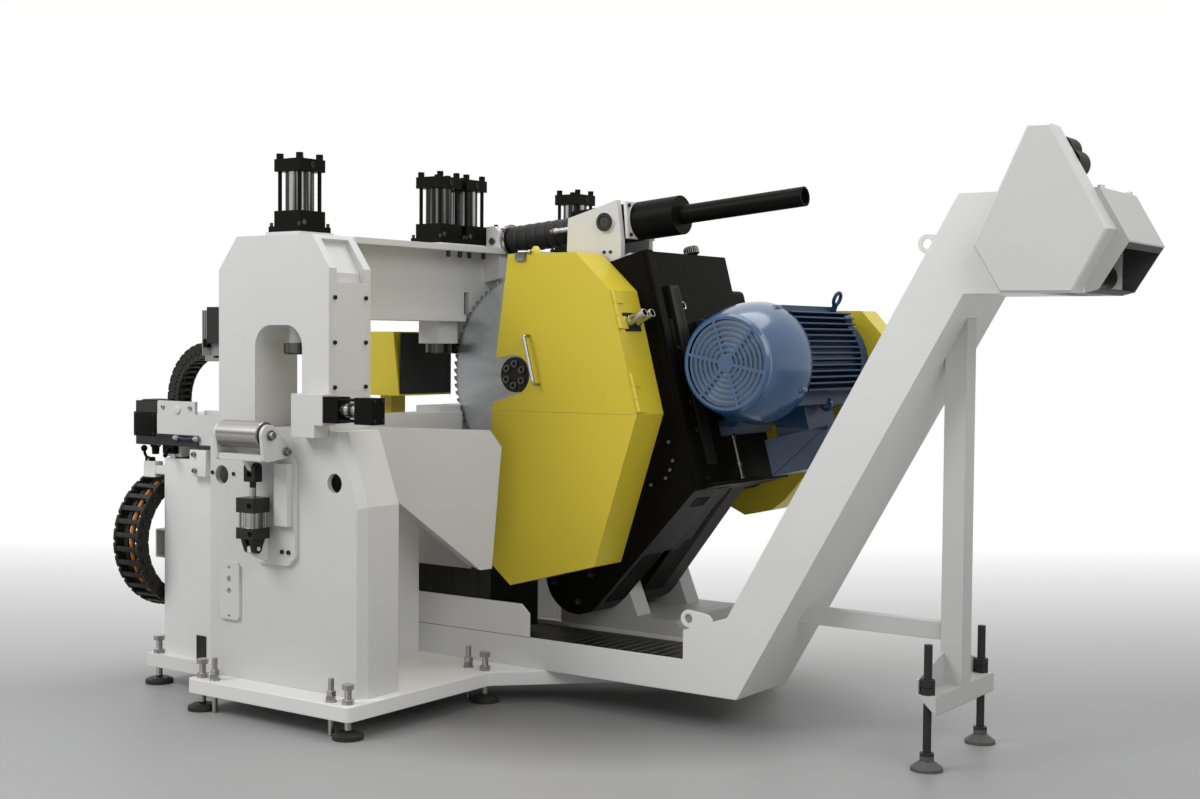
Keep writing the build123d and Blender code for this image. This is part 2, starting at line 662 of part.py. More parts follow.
# Lift roller unit on the infeed pedestal
ARM_IN = ROLLER_L / 2 + ARM_GAP
LIFT_X = ROLLER_X
with BuildPart() as lift_bracket:
    with BuildSketch(facing(-PED_FRONT)) as bracket_outline:
        with BuildLine():
            Polyline(
                (LIFT_X - 70, ARM_Z + 5),
                (LIFT_X - 70, LIFT_Z - 10),
                (LIFT_X - 38, LIFT_Z - 60),
                (LIFT_X + 108, LIFT_Z - 60),
                (LIFT_X + 140, LIFT_Z - 28),
                (LIFT_X + 140, ARM_Z - 40),
                (LIFT_X + ARM_IN - 6, ARM_Z + 5),
                close=True,
            )
        make_face()
    extrude(amount=LIFT_PLATE_T)
    with BuildSketch(facing(-PED_FRONT - LIFT_PLATE_T)):
        with Locations((LIFT_X + 92, ARM_Z - 149)):
            Rectangle(64, 214)
    extrude(amount=22)
    with BuildSketch(along(LIFT_X - ARM_IN + GAP)):
        with BuildLine():
            Polyline(
                (-PED_FRONT - LIFT_PLATE_T, ARM_Z - 26),
                (-PED_FRONT - LIFT_PLATE_T, ARM_Z + 5),
                (ARM_Y, ARM_Z + 22),
                (ARM_Y - 22, ARM_Z),
                (ARM_Y, ARM_Z - 22),
                close=True,
            )
        make_face()
    extrude(amount=2 * ARM_IN - 2 * GAP)
    with BuildSketch(along(LIFT_X - 8)):
        with BuildLine():
            Polyline(
                (-PED_FRONT - LIFT_PLATE_T, LIFT_Z - 50),
                (-PED_FRONT - LIFT_PLATE_T, LIFT_Z + 30),
                (LINK_Y + 10, LIFT_Z + 18),
                (LINK_Y - 18, LIFT_Z + 8),
                (LINK_Y - 18, LIFT_Z - 12),
                (LINK_Y + 10, LIFT_Z - 30),
                close=True,
            )
        make_face()
    extrude(amount=16)
    with BuildSketch(along(LIFT_X - ARM_IN - ARM_T - 6)):
        with Locations((ARM_Y, ARM_Z)):
            Circle(10)
    extrude(amount=2 * (ARM_IN + ARM_T + 6))
    with BuildSketch(along(LIFT_X - 30)):
        with Locations((LINK_Y, LIFT_Z)):
            Circle(7)
    extrude(amount=60)
with BuildPart() as lift_arm:
    for x in (LIFT_X - ARM_IN - ARM_T, LIFT_X + ARM_IN):
        with BuildSketch(along(x)):
            with Locations((ROLLER_Y, ROLLER_Z)):
                Circle(36)
            with Locations((ARM_Y, ARM_Z)):
                Circle(23)
            with Locations((ROLLER_Y - 14, ARM_Z - 20)):
                Circle(12)
            make_hull()
            with Locations((ARM_Y, ARM_Z)):
                Circle(10 + RUN, mode=Mode.SUBTRACT)
            with Locations((ROLLER_Y, ROLLER_Z)):
                Circle(14 + RUN, mode=Mode.SUBTRACT)
        extrude(amount=ARM_T)
    with BuildSketch(along(LIFT_X - ARM_IN)):
        with Locations((ROLLER_Y - 2, ARM_Z - 19)):
            Rectangle(44, 22)
    extrude(amount=2 * ARM_IN)
    with BuildSketch(along(LIFT_X - 9)):
        with BuildLine():
            Polyline(
                (ROLLER_Y + 20, ARM_Z - 8),
                (ROLLER_Y - 6, ARM_Z - 30),
                (LINK_Y - 16, LINK_Z - 8),
                (LINK_Y, LINK_Z - 18),
                (LINK_Y + 16, LINK_Z - 8),
                (LINK_Y + 16, LINK_Z + 12),
                close=True,
            )
        make_face()
        with Locations((LINK_Y, LINK_Z)):
            Circle(7 + OPEN_PLAY, mode=Mode.SUBTRACT)
    extrude(amount=18)
with BuildPart() as lift_roller:
    with BuildSketch(along(LIFT_X - ROLLER_L / 2)) as roller_ring:
        with Locations((ROLLER_Y, ROLLER_Z)):
            Circle(ROLLER_R)
    extrude(amount=ROLLER_L)
    chamfer(lift_roller.edges().filter_by(GeomType.CIRCLE), 3)
    with BuildSketch(along(LIFT_X - ARM_IN - ARM_T - 4)):
        with Locations((ROLLER_Y, ROLLER_Z)):
            Circle(14)
    extrude(amount=2 * (ARM_IN + ARM_T + 4))
LIFT_CAP_Z = LIFT_Z + 34
LIFT_HEAD_Z = LIFT_Z + 124
with BuildPart() as lift_cylinder:
    with BuildSketch(Plane.XY.offset(LIFT_CAP_Z)):
        with Locations((LIFT_X, LINK_Y)):
            Rectangle(84, 76)
    extrude(amount=38)
    with BuildSketch(Plane.XY.offset(LIFT_HEAD_Z)):
        with Locations((LIFT_X, LINK_Y)):
            Rectangle(84, 76)
            Circle(11 + GAP, mode=Mode.SUBTRACT)
    extrude(amount=50)
    with BuildSketch(Plane.XY.offset(LIFT_CAP_Z + 38)):
        with Locations((LIFT_X, LINK_Y)):
            Circle(34)
            Circle(28, mode=Mode.SUBTRACT)
            with GridLocations(64, 56, 2, 2):
                Circle(5)
    extrude(amount=LIFT_HEAD_Z - LIFT_CAP_Z - 38)
    for x in (LIFT_X - 8 - 1 - 18, LIFT_X + 8 + 1):
        with BuildSketch(along(x)):
            with Locations((LINK_Y, LIFT_Z)):
                Circle(17)
            with Locations((LINK_Y, LIFT_CAP_Z - 1)):
                Rectangle(60, 2)
            make_hull()
            with Locations((LINK_Y, LIFT_Z)):
                Circle(7 + RUN, mode=Mode.SUBTRACT)
        extrude(amount=18)
with BuildPart() as lift_rod:
    with BuildSketch(Plane.XY.offset(LIFT_CAP_Z + 52)):
        with Locations((LIFT_X, LINK_Y)):
            Circle(11)
    extrude(amount=LINK_Z - 48 - LIFT_CAP_Z - 52)
    with BuildSketch(Plane.XY.offset(LIFT_CAP_Z + 40)):
        with Locations((LIFT_X, LINK_Y)):
            Circle(28 - GAP)
    extrude(amount=12)
    with BuildSketch(Plane.XY.offset(LINK_Z - 48)):
        with Locations((LIFT_X, LINK_Y)):
            Rectangle(54, 34)
    extrude(amount=18)
    for x in (LIFT_X - 27, LIFT_X + 11):
        with BuildSketch(along(x)):
            with Locations((LINK_Y, LINK_Z)):
                Circle(17)
            with Locations((LINK_Y, LINK_Z - 31)):
                Rectangle(34, 2)
            make_hull()
        extrude(amount=16)
    with BuildSketch(along(LIFT_X - 31)):
        with Locations((LINK_Y, LINK_Z)):
            Circle(7)
    extrude(amount=62)

# Rail bed: a bar on each side of the blade, with seats and a pillar
with BuildPart() as rail_bed:
    for side in (-1, 1):
        with Locations((RAIL_X, side * (PED_BACK + BLADE_GAP) / 2, (BED_TOP + BED_BOTTOM) / 2)):
            Box(BED_W, PED_BACK - BLADE_GAP, BED_TOP - BED_BOTTOM)
        with Locations((RAIL_X, side * (BLADE_GAP + 60), BED_TOP)):
            Box(BED_W - 20, 120, SEAT_Z - BED_TOP, align=(Align.CENTER, Align.CENTER, Align.MIN))
        with Locations((RAIL_X, side * (PED_BACK - 60), BED_TOP)):
            Box(BED_W - 20, 120, SEAT_Z - BED_TOP, align=(Align.CENTER, Align.CENTER, Align.MIN))
        with Locations((RAIL_X, side * 300, BASE_TOP)):
            Box(BED_W - 30, 110, BED_BOTTOM - BASE_TOP, align=(Align.CENTER, Align.CENTER, Align.MIN))

# Chip chute: splayed panel with a sloping floor behind it
CHUTE_ANGLE = 57.0
CHUTE_X = -740.0
CHUTE_Y = -PED_BACK + 155.0
CHUTE_T = 8.0
chute_plane = Plane(
    origin=(CHUTE_X, CHUTE_Y, 0),
    x_dir=(cos(radians(CHUTE_ANGLE)), sin(radians(CHUTE_ANGLE)), 0),
    z_dir=(sin(radians(CHUTE_ANGLE)), -cos(radians(CHUTE_ANGLE)), 0),
)
with BuildPart() as chip_chute:
    with BuildSketch(chute_plane):
        with BuildLine():
            Polyline((-60, 1000), (430, 980), (475, 918), (440, 473), (395, 469), (0, 800), (-60, 800), close=True)
        make_face()
    extrude(amount=-CHUTE_T)
    with BuildSketch(chute_plane.offset(-CHUTE_T)):
        with BuildLine():
            Polyline((395, 469), (0, 800), (0, 808), (400, 473), close=True)
        make_face()
    extrude(amount=-150)
    chute_edge = chute_plane.from_local_coords(Vector(-60, 0, 0))
    with BuildSketch(Plane.XY.offset(PED_TOP - 180)):
        with Locations((chute_edge.X + 1, -PED_BACK)):
            Rectangle(CHUTE_T, chute_edge.Y + PED_BACK + 6, align=(Align.MAX, Align.MIN))
    extrude(amount=170)

# Yellow guard behind the rail on its own post
with BuildPart() as rear_guard:
    with BuildSketch(facing(150)):
        with BuildLine():
            Polyline((-1230, 1090), (-1010, 1090), (-1040, 1337), (-1230, 1337), close=True)
        make_face()
        with BuildLine():
            Polyline((-1226, 1086), (-1014.5, 1086), (-1043.5, 1333), (-1226, 1333), close=True)
        make_face(mode=Mode.SUBTRACT)
    extrude(amount=300)
    with BuildSketch(facing(154)):
        with BuildLine():
            Polyline((-1230, 1090), (-1010, 1090), (-1040, 1337), (-1230, 1337), close=True)
        make_face()
    extrude(amount=4)
    with BuildSketch(facing(-150)):
        with BuildLine():
            Polyline((-1230, 1090), (-1010, 1090), (-1040, 1337), (-1230, 1337), close=True)
        make_face()
    extrude(amount=4)
    with Locations((-1182, 0, BASE_TOP)):
        Box(60, 80, 1333 - BASE_TOP, align=(Align.CENTER, Align.CENTER, Align.MIN))

# Pivot base behind the conveyor trough
LUG_FRONT = ARM_FRONT_BACK + LUG_GAP
LUG_REAR = ARM_MID_BACK + LUG_GAP
PIVOT_BLOCK_TOP = PIVOT_Z - HUB_R - 13
with BuildPart() as pivot_base:
    with BuildSketch(facing(PIVOT_BACK)):
        with BuildLine():
            Polyline(
                (PIVOT_X - 190, BASE_TOP),
                (WING_RIGHT - 12, BASE_TOP),
                (WING_RIGHT - 12, BASE_TOP + 70),
                (PIVOT_X + 330, PIVOT_BLOCK_TOP),
                (PIVOT_X - 190, PIVOT_BLOCK_TOP),
                close=True,
            )
        make_face()
    extrude(amount=PIVOT_BACK - LUG_FRONT)
    for y in (LUG_FRONT, LUG_REAR):
        with BuildSketch(facing(y + LUG_T)):
            with Locations((PIVOT_X, PIVOT_Z)):
                Circle(PIVOT_R + 50)
            with Locations((PIVOT_X, PIVOT_BLOCK_TOP + 1)):
                Rectangle(330, 2)
            make_hull()
        extrude(amount=LUG_T)
    with BuildSketch(facing(LUG_REAR + LUG_T)):
        with Locations((PIVOT_X, PIVOT_Z)):
            Circle(PIVOT_R)
    extrude(amount=LUG_REAR + LUG_T - LUG_FRONT, mode=Mode.SUBTRACT)
with BuildPart() as pivot_shaft:
    with BuildSketch(facing(LUG_REAR + LUG_T + 20)):
        with Locations((PIVOT_X, PIVOT_Z)):
            Circle(PIVOT_R)
    extrude(amount=LUG_REAR + LUG_T + 20 - HEAD_FRONT - 30)

# Saw head housing with two strips, the motor plate and a ledge on its right face
STRIPS = ((4, 28, 18), (40, 14, 12))
HOUSING = [(HEAD_FACE, HEAD_BOTTOM), (HEAD_FACE, HEAD_TOP), (189, HEAD_TOP), (-14, 914), (-90, 802), (-101, 668)]
with BuildPart() as head_housing:
    with BuildSketch(head(ARM_FRONT_BACK)):
        with BuildLine():
            Polyline(*HOUSING, close=True)
        make_face()
        Circle(HUB_R)
        make_hull()
    extrude(amount=ARM_FRONT_BACK - HEAD_FRONT)
    with BuildSketch(head(HEAD_BACK)):
        with BuildLine():
            Polyline(*HOUSING, (-101, 330), (40, HEAD_BOTTOM), close=True)
        make_face()
    extrude(amount=HEAD_BACK - ARM_FRONT_BACK)
    with BuildSketch(head(ARM_MID_BACK)):
        with BuildLine():
            Polyline((HEAD_FACE - 90, HEAD_BOTTOM + 2), (-95, 360), (-60, HEAD_BOTTOM + 2), close=True)
        make_face()
        Circle(HUB_R)
        make_hull()
    extrude(amount=ARM_MID_BACK - ARM_MID_FRONT)
    for start, width, out in STRIPS:
        with BuildSketch(head(HEAD_FRONT + start + width)):
            with Locations((HEAD_FACE, HEAD_BOTTOM + 1)):
                Rectangle(out, HEAD_TOP - HEAD_BOTTOM - 2, align=(Align.MIN, Align.MIN))
        extrude(amount=width)
    with BuildSketch(head(HEAD_BACK - 5)):
        with Locations((HEAD_FACE, HEAD_BOTTOM + 1)):
            Rectangle(MOTOR_PLATE_T, MOTOR_W + FOOT_HALF + 34 - HEAD_BOTTOM, align=(Align.MIN, Align.MIN))
    extrude(amount=HEAD_BACK - 5 - HEAD_FRONT - 60)
    with BuildSketch(head(HEAD_BACK - 5)):
        with Locations((HEAD_FACE, HEAD_BOTTOM + 1)):
            Rectangle(64, 16, align=(Align.MIN, Align.MIN))
    extrude(amount=HEAD_BACK - 5 - HEAD_FRONT - 33)
    with BuildSketch(head(HEAD_BACK + 84)):
        with Locations((HEAD_FACE - 130, HEAD_TOP - 227)):
            RectangleRounded(256, 200, 24)
    extrude(amount=84)
    with BuildSketch(head(MOTOR_END)):
        with Locations((INPUT_U, INPUT_W)):
            Circle(QUILL_R)
    extrude(amount=MOTOR_END - HEAD_BACK)
    with BuildSketch(head(ARM_MID_BACK)):
        Circle(PIVOT_R + RUN)
    extrude(amount=ARM_MID_BACK - HEAD_FRONT - 28, mode=Mode.SUBTRACT)
    with BuildSketch(head(400)):
        with Locations((SPINDLE_U, SPINDLE_W)):
            Circle(SPINDLE_R + RUN)
    extrude(amount=400 - HEAD_FRONT, mode=Mode.SUBTRACT)
    with BuildSketch(head(MOTOR_END)):
        with Locations((INPUT_U, INPUT_W)):
            Circle(INPUT_R + RUN)
    extrude(amount=MOTOR_END - 420, mode=Mode.SUBTRACT)

# Spindle with back flange, front flange and clamp screws
with BuildPart() as spindle:
    with BuildSketch(head(390)):
        with Locations((SPINDLE_U, SPINDLE_W)):
            Circle(SPINDLE_R)
    extrude(amount=390 - BLADE_T / 2)
    with BuildSketch(head(HEAD_FRONT - 2)):
        with Locations((SPINDLE_U, SPINDLE_W)):
            Circle(BACK_FLANGE_R)
    extrude(amount=HEAD_FRONT - 2 - BLADE_T / 2)
    with BuildSketch(head(BLADE_T / 2)):
        with Locations((SPINDLE_U, SPINDLE_W)):
            Circle(SPINDLE_R - 10)
    extrude(amount=BLADE_T)
    with BuildSketch(head(-BLADE_T / 2)):
        with Locations((SPINDLE_U, SPINDLE_W)):
            Circle(FLANGE_R)
    extrude(amount=-BLADE_T / 2 - GUARD_FRONT - 6)
    with BuildSketch(head(GUARD_FRONT + 6)):
        with Locations((SPINDLE_U, SPINDLE_W)):
            with PolarLocations(FLANGE_R * 0.62, 6, start_angle=12):
                Circle(13)
                RegularPolygon(6, 6, mode=Mode.SUBTRACT)
    extrude(amount=8)

# Saw blade with raked teeth and a tip on each
blade_points = []
for i in range(TEETH):
    a = 360.0 * i / TEETH
    step = 360.0 / TEETH
    for part, r in ((0.0, BLADE_R), (0.34, BLADE_R - 2), (0.72, BLADE_R - TOOTH_H), (0.93, BLADE_R - TOOTH_H)):
        t = radians(a + step * part)
        blade_points.append((SPINDLE_U + r * cos(t), SPINDLE_W + r * sin(t)))
with BuildPart() as saw_blade:
    with BuildSketch(head(BLADE_T / 2)):
        with BuildLine():
            Polyline(*blade_points, close=True)
        make_face()
        with Locations((SPINDLE_U, SPINDLE_W)):
            Circle(SPINDLE_R - 10, mode=Mode.SUBTRACT)
    extrude(amount=BLADE_T)

# Blade guard: rim band, fixed lower front and hinged upper door
SEAM = 0.3
lm = GUARD[7]
rm = GUARD[3]
left_closed = (GUARD[6][0] + 0.42 * (lm[0] - GUARD[6][0]), GUARD[6][1] + 0.42 * (lm[1] - GUARD[6][1]))
HINGE_U = rm[0] + HINGE_R + 1
HINGES = (rm[1] + 77, rm[1] + 380)
HINGE_L = 140.0
with BuildPart() as guard_shell:
    with BuildSketch(head(HEAD_FRONT)):
        with BuildLine():
            Polyline(*GUARD, close=True)
        make_face()
        offset(amount=-GUARD_T, kind=Kind.INTERSECTION, mode=Mode.SUBTRACT)
        with BuildLine():
            Polyline(
                left_closed,
                (left_closed[0] + 60, left_closed[1] + 30),
                (SPINDLE_U + 40, SPINDLE_W),
                (GUARD[0][0] + GUARD_T + 4, GUARD[0][1] - GUARD_T - 1.5),
                (GUARD[0][0] - 30, GUARD[0][1] - GUARD_T - 1.5),
                (-400, SPINDLE_W),
                close=True,
            )
        make_face(mode=Mode.SUBTRACT)
    extrude(amount=HEAD_FRONT - GUARD_FRONT - GUARD_T - GAP)
    with BuildSketch(head(GUARD_FRONT + GUARD_T + GAP)):
        with BuildLine():
            Polyline(
                (rm[0], rm[1] - SEAM),
                GUARD[4],
                GUARD[5],
                GUARD[6],
                (lm[0], lm[1] - SEAM),
                close=True,
            )
        make_face()
    extrude(amount=GUARD_T + GAP)
    for w in HINGES:
        for dw in (-HINGE_L / 3, HINGE_L / 3):
            with BuildSketch(head(GUARD_FRONT + 60)):
                with Locations((rm[0] + GUARD_T / 2, w + dw)):
                    Rectangle(GUARD_T, HINGE_L / 3 - 1)
            extrude(amount=58)
        start = head_point(HINGE_U, w - HINGE_L / 2, GUARD_FRONT + 2)
        axis_plane = Plane(origin=start, x_dir=(0, 1, 0), z_dir=head(0).y_dir)
        with BuildSketch(axis_plane):
            Circle(HINGE_R)
        extrude(amount=HINGE_L / 3 - 0.5)
        with BuildSketch(axis_plane.offset(HINGE_L * 2 / 3 + 0.5)):
            Circle(HINGE_R)
        extrude(amount=HINGE_L / 3 - 0.5)
        with BuildSketch(axis_plane):
            Circle(HINGE_R / 2)
        extrude(amount=HINGE_L)
        for dw in (-HINGE_L / 3, HINGE_L / 3):
            with BuildSketch(head(GUARD_FRONT + 2 + GUARD_T / 2)):
                with Locations((rm[0] + HINGE_R / 2 + 0.5, w + dw)):
                    Rectangle(HINGE_R - 1, HINGE_L / 3 - 1)
            extrude(amount=GUARD_T)
with BuildPart() as guard_door:
    with BuildSketch(head(GUARD_FRONT + GUARD_T)):
        with BuildLine():
            Polyline(GUARD[0], GUARD[1], GUARD[2], (rm[0], rm[1] + SEAM), (lm[0], lm[1] + SEAM), GUARD[8], close=True)
        make_face()
        with Locations((SPINDLE_U, SPINDLE_W)):
            Circle(NOTCH_R, mode=Mode.SUBTRACT)
        with BuildLine():
            Polyline(
                (SPINDLE_U + 5, SPINDLE_W + NOTCH_R - 0.5),
                (-150, SPINDLE_W + NOTCH_R + 20),
                (-190, SPINDLE_W - NOTCH_R - 10),
                (SPINDLE_U - 5, SPINDLE_W - NOTCH_R + 0.5),
                close=True,
            )
        make_face(mode=Mode.SUBTRACT)
    extrude(amount=GUARD_T)
    for w in HINGES:
        with BuildSketch(head(GUARD_FRONT + GUARD_T)):
            with Locations((rm[0] + (HINGE_R + 1) / 2 - 4, w)):
                Rectangle(HINGE_R + 9, HINGE_L / 3 - 1)
        extrude(amount=GUARD_T)
        start = head_point(HINGE_U, w - HINGE_L / 6 + 0.5, GUARD_FRONT + 2)
        axis_plane = Plane(origin=start, x_dir=(0, 1, 0), z_dir=head(0).y_dir)
        with BuildSketch(axis_plane):
            Circle(HINGE_R)
        extrude(amount=HINGE_L / 3 - 1)
        with BuildSketch(axis_plane):
            Circle(HINGE_R / 2 + RUN)
        extrude(amount=HINGE_L / 3 - 1, mode=Mode.SUBTRACT)

# Tubular door handle
HANDLE_U = 140.0
HANDLE_LOW = 705.0
HANDLE_HIGH = 888.0
HANDLE_OUT = 34.0
HANDLE_R = 7.0
with BuildPart() as door_handle:
    with BuildLine() as handle_path:
        handle_corner = FilletPolyline(
            head_point(HANDLE_U, HANDLE_LOW, GUARD_FRONT),
            head_point(HANDLE_U, HANDLE_LOW, GUARD_FRONT - HANDLE_OUT),
            head_point(HANDLE_U, HANDLE_HIGH, GUARD_FRONT - HANDLE_OUT),
            head_point(HANDLE_U, HANDLE_HIGH, GUARD_FRONT),
            radius=14,
        )
    with BuildSketch(Plane(origin=handle_corner @ 0, z_dir=handle_corner % 0)):
        Circle(HANDLE_R)
    sweep()

# Trunnion bracket on top of the head: two cheeks on a foot plate
CHEEK = [(255, 1087), (255, 1187), (290, 1299), (517, 1299), (500, 1160), (480, 1087)]
nut_rel = head(0).to_local_coords(Vector(NUT_X, 0, NUT_Z))
NUT_U = nut_rel.X
NUT_W = nut_rel.Y
FOOT_PLATE = 16.0
with BuildPart() as trunnion_bracket:
    for y in (FEED_Y - CHEEK_IN, FEED_Y + CHEEK_IN + CHEEK_T):
        with BuildSketch(head(y)):
            with BuildLine():
                Polyline(*CHEEK, close=True)
            make_face()
            with Locations((NUT_U, NUT_W)):
                Circle(FEED_PIN_R + RUN, mode=Mode.SUBTRACT)
        extrude(amount=CHEEK_T)
    with BuildSketch(head(FEED_Y + CHEEK_IN)):
        with Locations(((CHEEK[0][0] + CHEEK[5][0]) / 2 + 15, HEAD_TOP + FOOT_PLATE / 2)):
            Rectangle(CHEEK[5][0] - CHEEK[0][0] + 30, FOOT_PLATE)
    extrude(amount=2 * CHEEK_IN)
    with BuildSketch(head(FEED_Y - CHEEK_IN - CHEEK_T)):
        with Locations((NUT_U, NUT_W)):
            Circle(FEED_PIN_R + 14)
    extrude(amount=8)

# Motor: finned frame with a smooth top, feet, conduit box and eye bolt
FRAME_FRONT = FAN_FACE + COWL_L
FRAME_BACK = MOTOR_END - 95
FRAME_SMOOTH = 0.62 * MOTOR_R
EYE_TURN = 35.0
eye_u = sin(radians(EYE_TURN))
eye_w = cos(radians(EYE_TURN))
with BuildPart() as motor_frame:
    with BuildSketch(head(FRAME_BACK)):
        with Locations((MOTOR_U, MOTOR_W)):
            with GridLocations(0, FIN_PITCH, 1, 14):
                Rectangle(2 * MOTOR_R, FIN_T)
            Circle(CORE_R)
            Rectangle(2 * FRAME_SMOOTH, 2 * MOTOR_R)
            RectangleRounded(2 * MOTOR_R, 2 * MOTOR_R, 0.42 * MOTOR_R, mode=Mode.INTERSECT)
    extrude(amount=FRAME_BACK - FRAME_FRONT - 12)
    with BuildSketch(head(MOTOR_END)):
        with Locations((MOTOR_U, MOTOR_W)):
            Circle(CORE_R - 8)
    extrude(amount=60)
    with BuildSketch(head(MOTOR_END - 40)):
        with Locations((MOTOR_U, MOTOR_W)):
            Circle(CORE_R + 18)
            with PolarLocations(CORE_R + 20, 4, start_angle=45):
                Circle(22)
    extrude(amount=55)
    with BuildSketch(head(FRAME_FRONT + 12)):
        with Locations((MOTOR_U, MOTOR_W)):
            Circle(COWL_BACK_R)
    extrude(amount=12)
    for side in (-1, 1):
        with BuildSketch(head(HEAD_BACK - 30)):
            with BuildLine():
                Polyline(
                    (MOTOR_U - MOTOR_H, MOTOR_W + side * (FOOT_HALF - 28)),
                    (MOTOR_U - MOTOR_H, MOTOR_W + side * (FOOT_HALF + 28)),
                    (MOTOR_U - MOTOR_H + 22, MOTOR_W + side * (FOOT_HALF + 28)),
                    (MOTOR_U - 90, MOTOR_W + side * FOOT_HALF * 0.8),
                    (MOTOR_U - 110, MOTOR_W + side * FOOT_HALF * 0.5),
                    (MOTOR_U - MOTOR_H + 22, MOTOR_W + side * (FOOT_HALF - 28)),
                    close=True,
                )
            make_face()
        extrude(amount=HEAD_BACK - 30 - FRAME_FRONT - 45)
    with BuildSketch(head(BOX_BACK - 40)):
        with Locations((MOTOR_U, MOTOR_W - MOTOR_R + 20)):
            Rectangle(130, MOTOR_W - MOTOR_R + 20 - BOX_TOP + 10, align=(Align.CENTER, Align.MAX))
    extrude(amount=BOX_BACK - BOX_FRONT - 80)
    with BuildSketch(head(BOX_BACK)):
        with BuildLine():
            Polyline(
                (MOTOR_U - 100, BOX_TOP - 134),
                (MOTOR_U + 86, BOX_TOP - 140),
                (MOTOR_U + 166, BOX_TOP - 4),
                (MOTOR_U - 100, BOX_TOP),
                close=True,
            )
        make_face()
    extrude(amount=BOX_BACK - BOX_FRONT)
    with BuildSketch(head(BOX_FRONT + 3)):
        with BuildLine():
            Polyline(
                (MOTOR_U - 99, BOX_TOP - 132),
                (MOTOR_U - 94, BOX_TOP - 132),
                (MOTOR_U + 160, BOX_TOP - 8),
                (MOTOR_U + 154, BOX_TOP - 6),
                close=True,
            )
        make_face()
    extrude(amount=3, mode=Mode.SUBTRACT)
    with BuildSketch(head(MOTOR_END)):
        with Locations((MOTOR_U, MOTOR_W)):
            Circle(MOTOR_SHAFT_R + RUN)
    extrude(amount=MOTOR_END - FRAME_FRONT, mode=Mode.SUBTRACT)
    eye_foot = head_point(MOTOR_U + eye_u * MOTOR_R, MOTOR_W + eye_w * MOTOR_R, FRAME_BACK - 24)
    with Locations(Location(eye_foot, (0, EYE_TURN - TILT, 0))):
        Cylinder(11, 52, align=(Align.CENTER, Align.CENTER, Align.MIN))
    eye_out = 1.15 * MOTOR_R + 40
    eye_ring = head_point(MOTOR_U + eye_u * eye_out, MOTOR_W + eye_w * eye_out, FRAME_BACK - 24)
    with Locations(Location(eye_ring, (0, 90 + EYE_TURN - TILT, 0))):
        Torus(24, 7)

# Fan cowl: belled shell with a grille slotted in rings and sectors
GRILLE_RINGS = 7
GRILLE_FIRST = 36.0
GRILLE_PITCH = 18.7
GRILLE_SLOT = 9.0
bell_u = COWL_R + 0.72 * (COWL_BACK_R - COWL_R)
with BuildPart() as motor_cowl:
    cowl_axis = Plane(origin=head_point(MOTOR_U, MOTOR_W, FAN_FACE), x_dir=head(0).x_dir, z_dir=(0, 1, 0))
    with BuildSketch(Plane(origin=cowl_axis.origin, x_dir=head(0).x_dir, z_dir=head(0).y_dir)):
        with BuildLine():
            Polyline((0, COWL_T), (0, 0), (COWL_R - 9, 0), (COWL_R, 9), (COWL_R, 22))
            ThreePointArc((COWL_R, 22), (bell_u, 0.55 * COWL_L), (COWL_BACK_R, COWL_L))
            Line((COWL_BACK_R, COWL_L), (COWL_BACK_R - COWL_T, COWL_L))
            ThreePointArc(
                (COWL_BACK_R - COWL_T, COWL_L),
                (bell_u - COWL_T, 0.55 * COWL_L),
                (COWL_R - COWL_T, 22),
            )
            Polyline((COWL_R - COWL_T, 22), (COWL_R - COWL_T, 11), (COWL_R - 9, COWL_T), (0, COWL_T))
        make_face()
    revolve(axis=Axis(cowl_axis.origin, (0, 1, 0)))
    with BuildSketch(head(FAN_FACE + COWL_T)):
        with Locations((MOTOR_U, MOTOR_W)):
            for i in range(GRILLE_RINGS):
                r = GRILLE_FIRST + GRILLE_PITCH * (GRILLE_RINGS - 1 - i)
                Circle(r + GRILLE_SLOT / 2)
                Circle(r - GRILLE_SLOT / 2, mode=Mode.SUBTRACT)
            with PolarLocations(0, 6, start_angle=34):
                Rectangle(COWL_R, 11, align=(Align.MIN, Align.CENTER), mode=Mode.SUBTRACT)
    extrude(amount=COWL_T, mode=Mode.SUBTRACT)

# Rotor shaft with fan and belt pulley
BELT_Y = MOTOR_END + BELT_GUARD_T + 12
with BuildPart() as motor_rotor:
    with BuildSketch(head(BELT_Y + BELT_W + 6)):
        with Locations((MOTOR_U, MOTOR_W)):
            Circle(MOTOR_SHAFT_R)
    extrude(amount=BELT_Y + BELT_W + 6 - FAN_FACE - 30)
    with BuildSketch(head(BELT_Y + BELT_W)):
        with Locations((MOTOR_U, MOTOR_W)):
            Circle(PULLEY_SMALL)
    extrude(amount=BELT_W)
    with BuildSketch(head(FAN_FACE + COWL_L / 2)):
        with Locations((MOTOR_U, MOTOR_W)):
            Circle(60)
            with PolarLocations(0, 8):
                Rectangle(COWL_R - 15, 8, align=(Align.MIN, Align.CENTER))
    extrude(amount=60)

# Input shaft of the gearbox with its large pulley
with BuildPart() as pinion_shaft:
    with BuildSketch(head(BELT_Y + BELT_W + 6)):
        with Locations((INPUT_U, INPUT_W)):
            Circle(INPUT_R)
    extrude(amount=BELT_Y + BELT_W + 6 - 430)
    with BuildSketch(head(BELT_Y + BELT_W)):
        with Locations((INPUT_U, INPUT_W)):
            Circle(PULLEY_LARGE)
    extrude(amount=BELT_W)

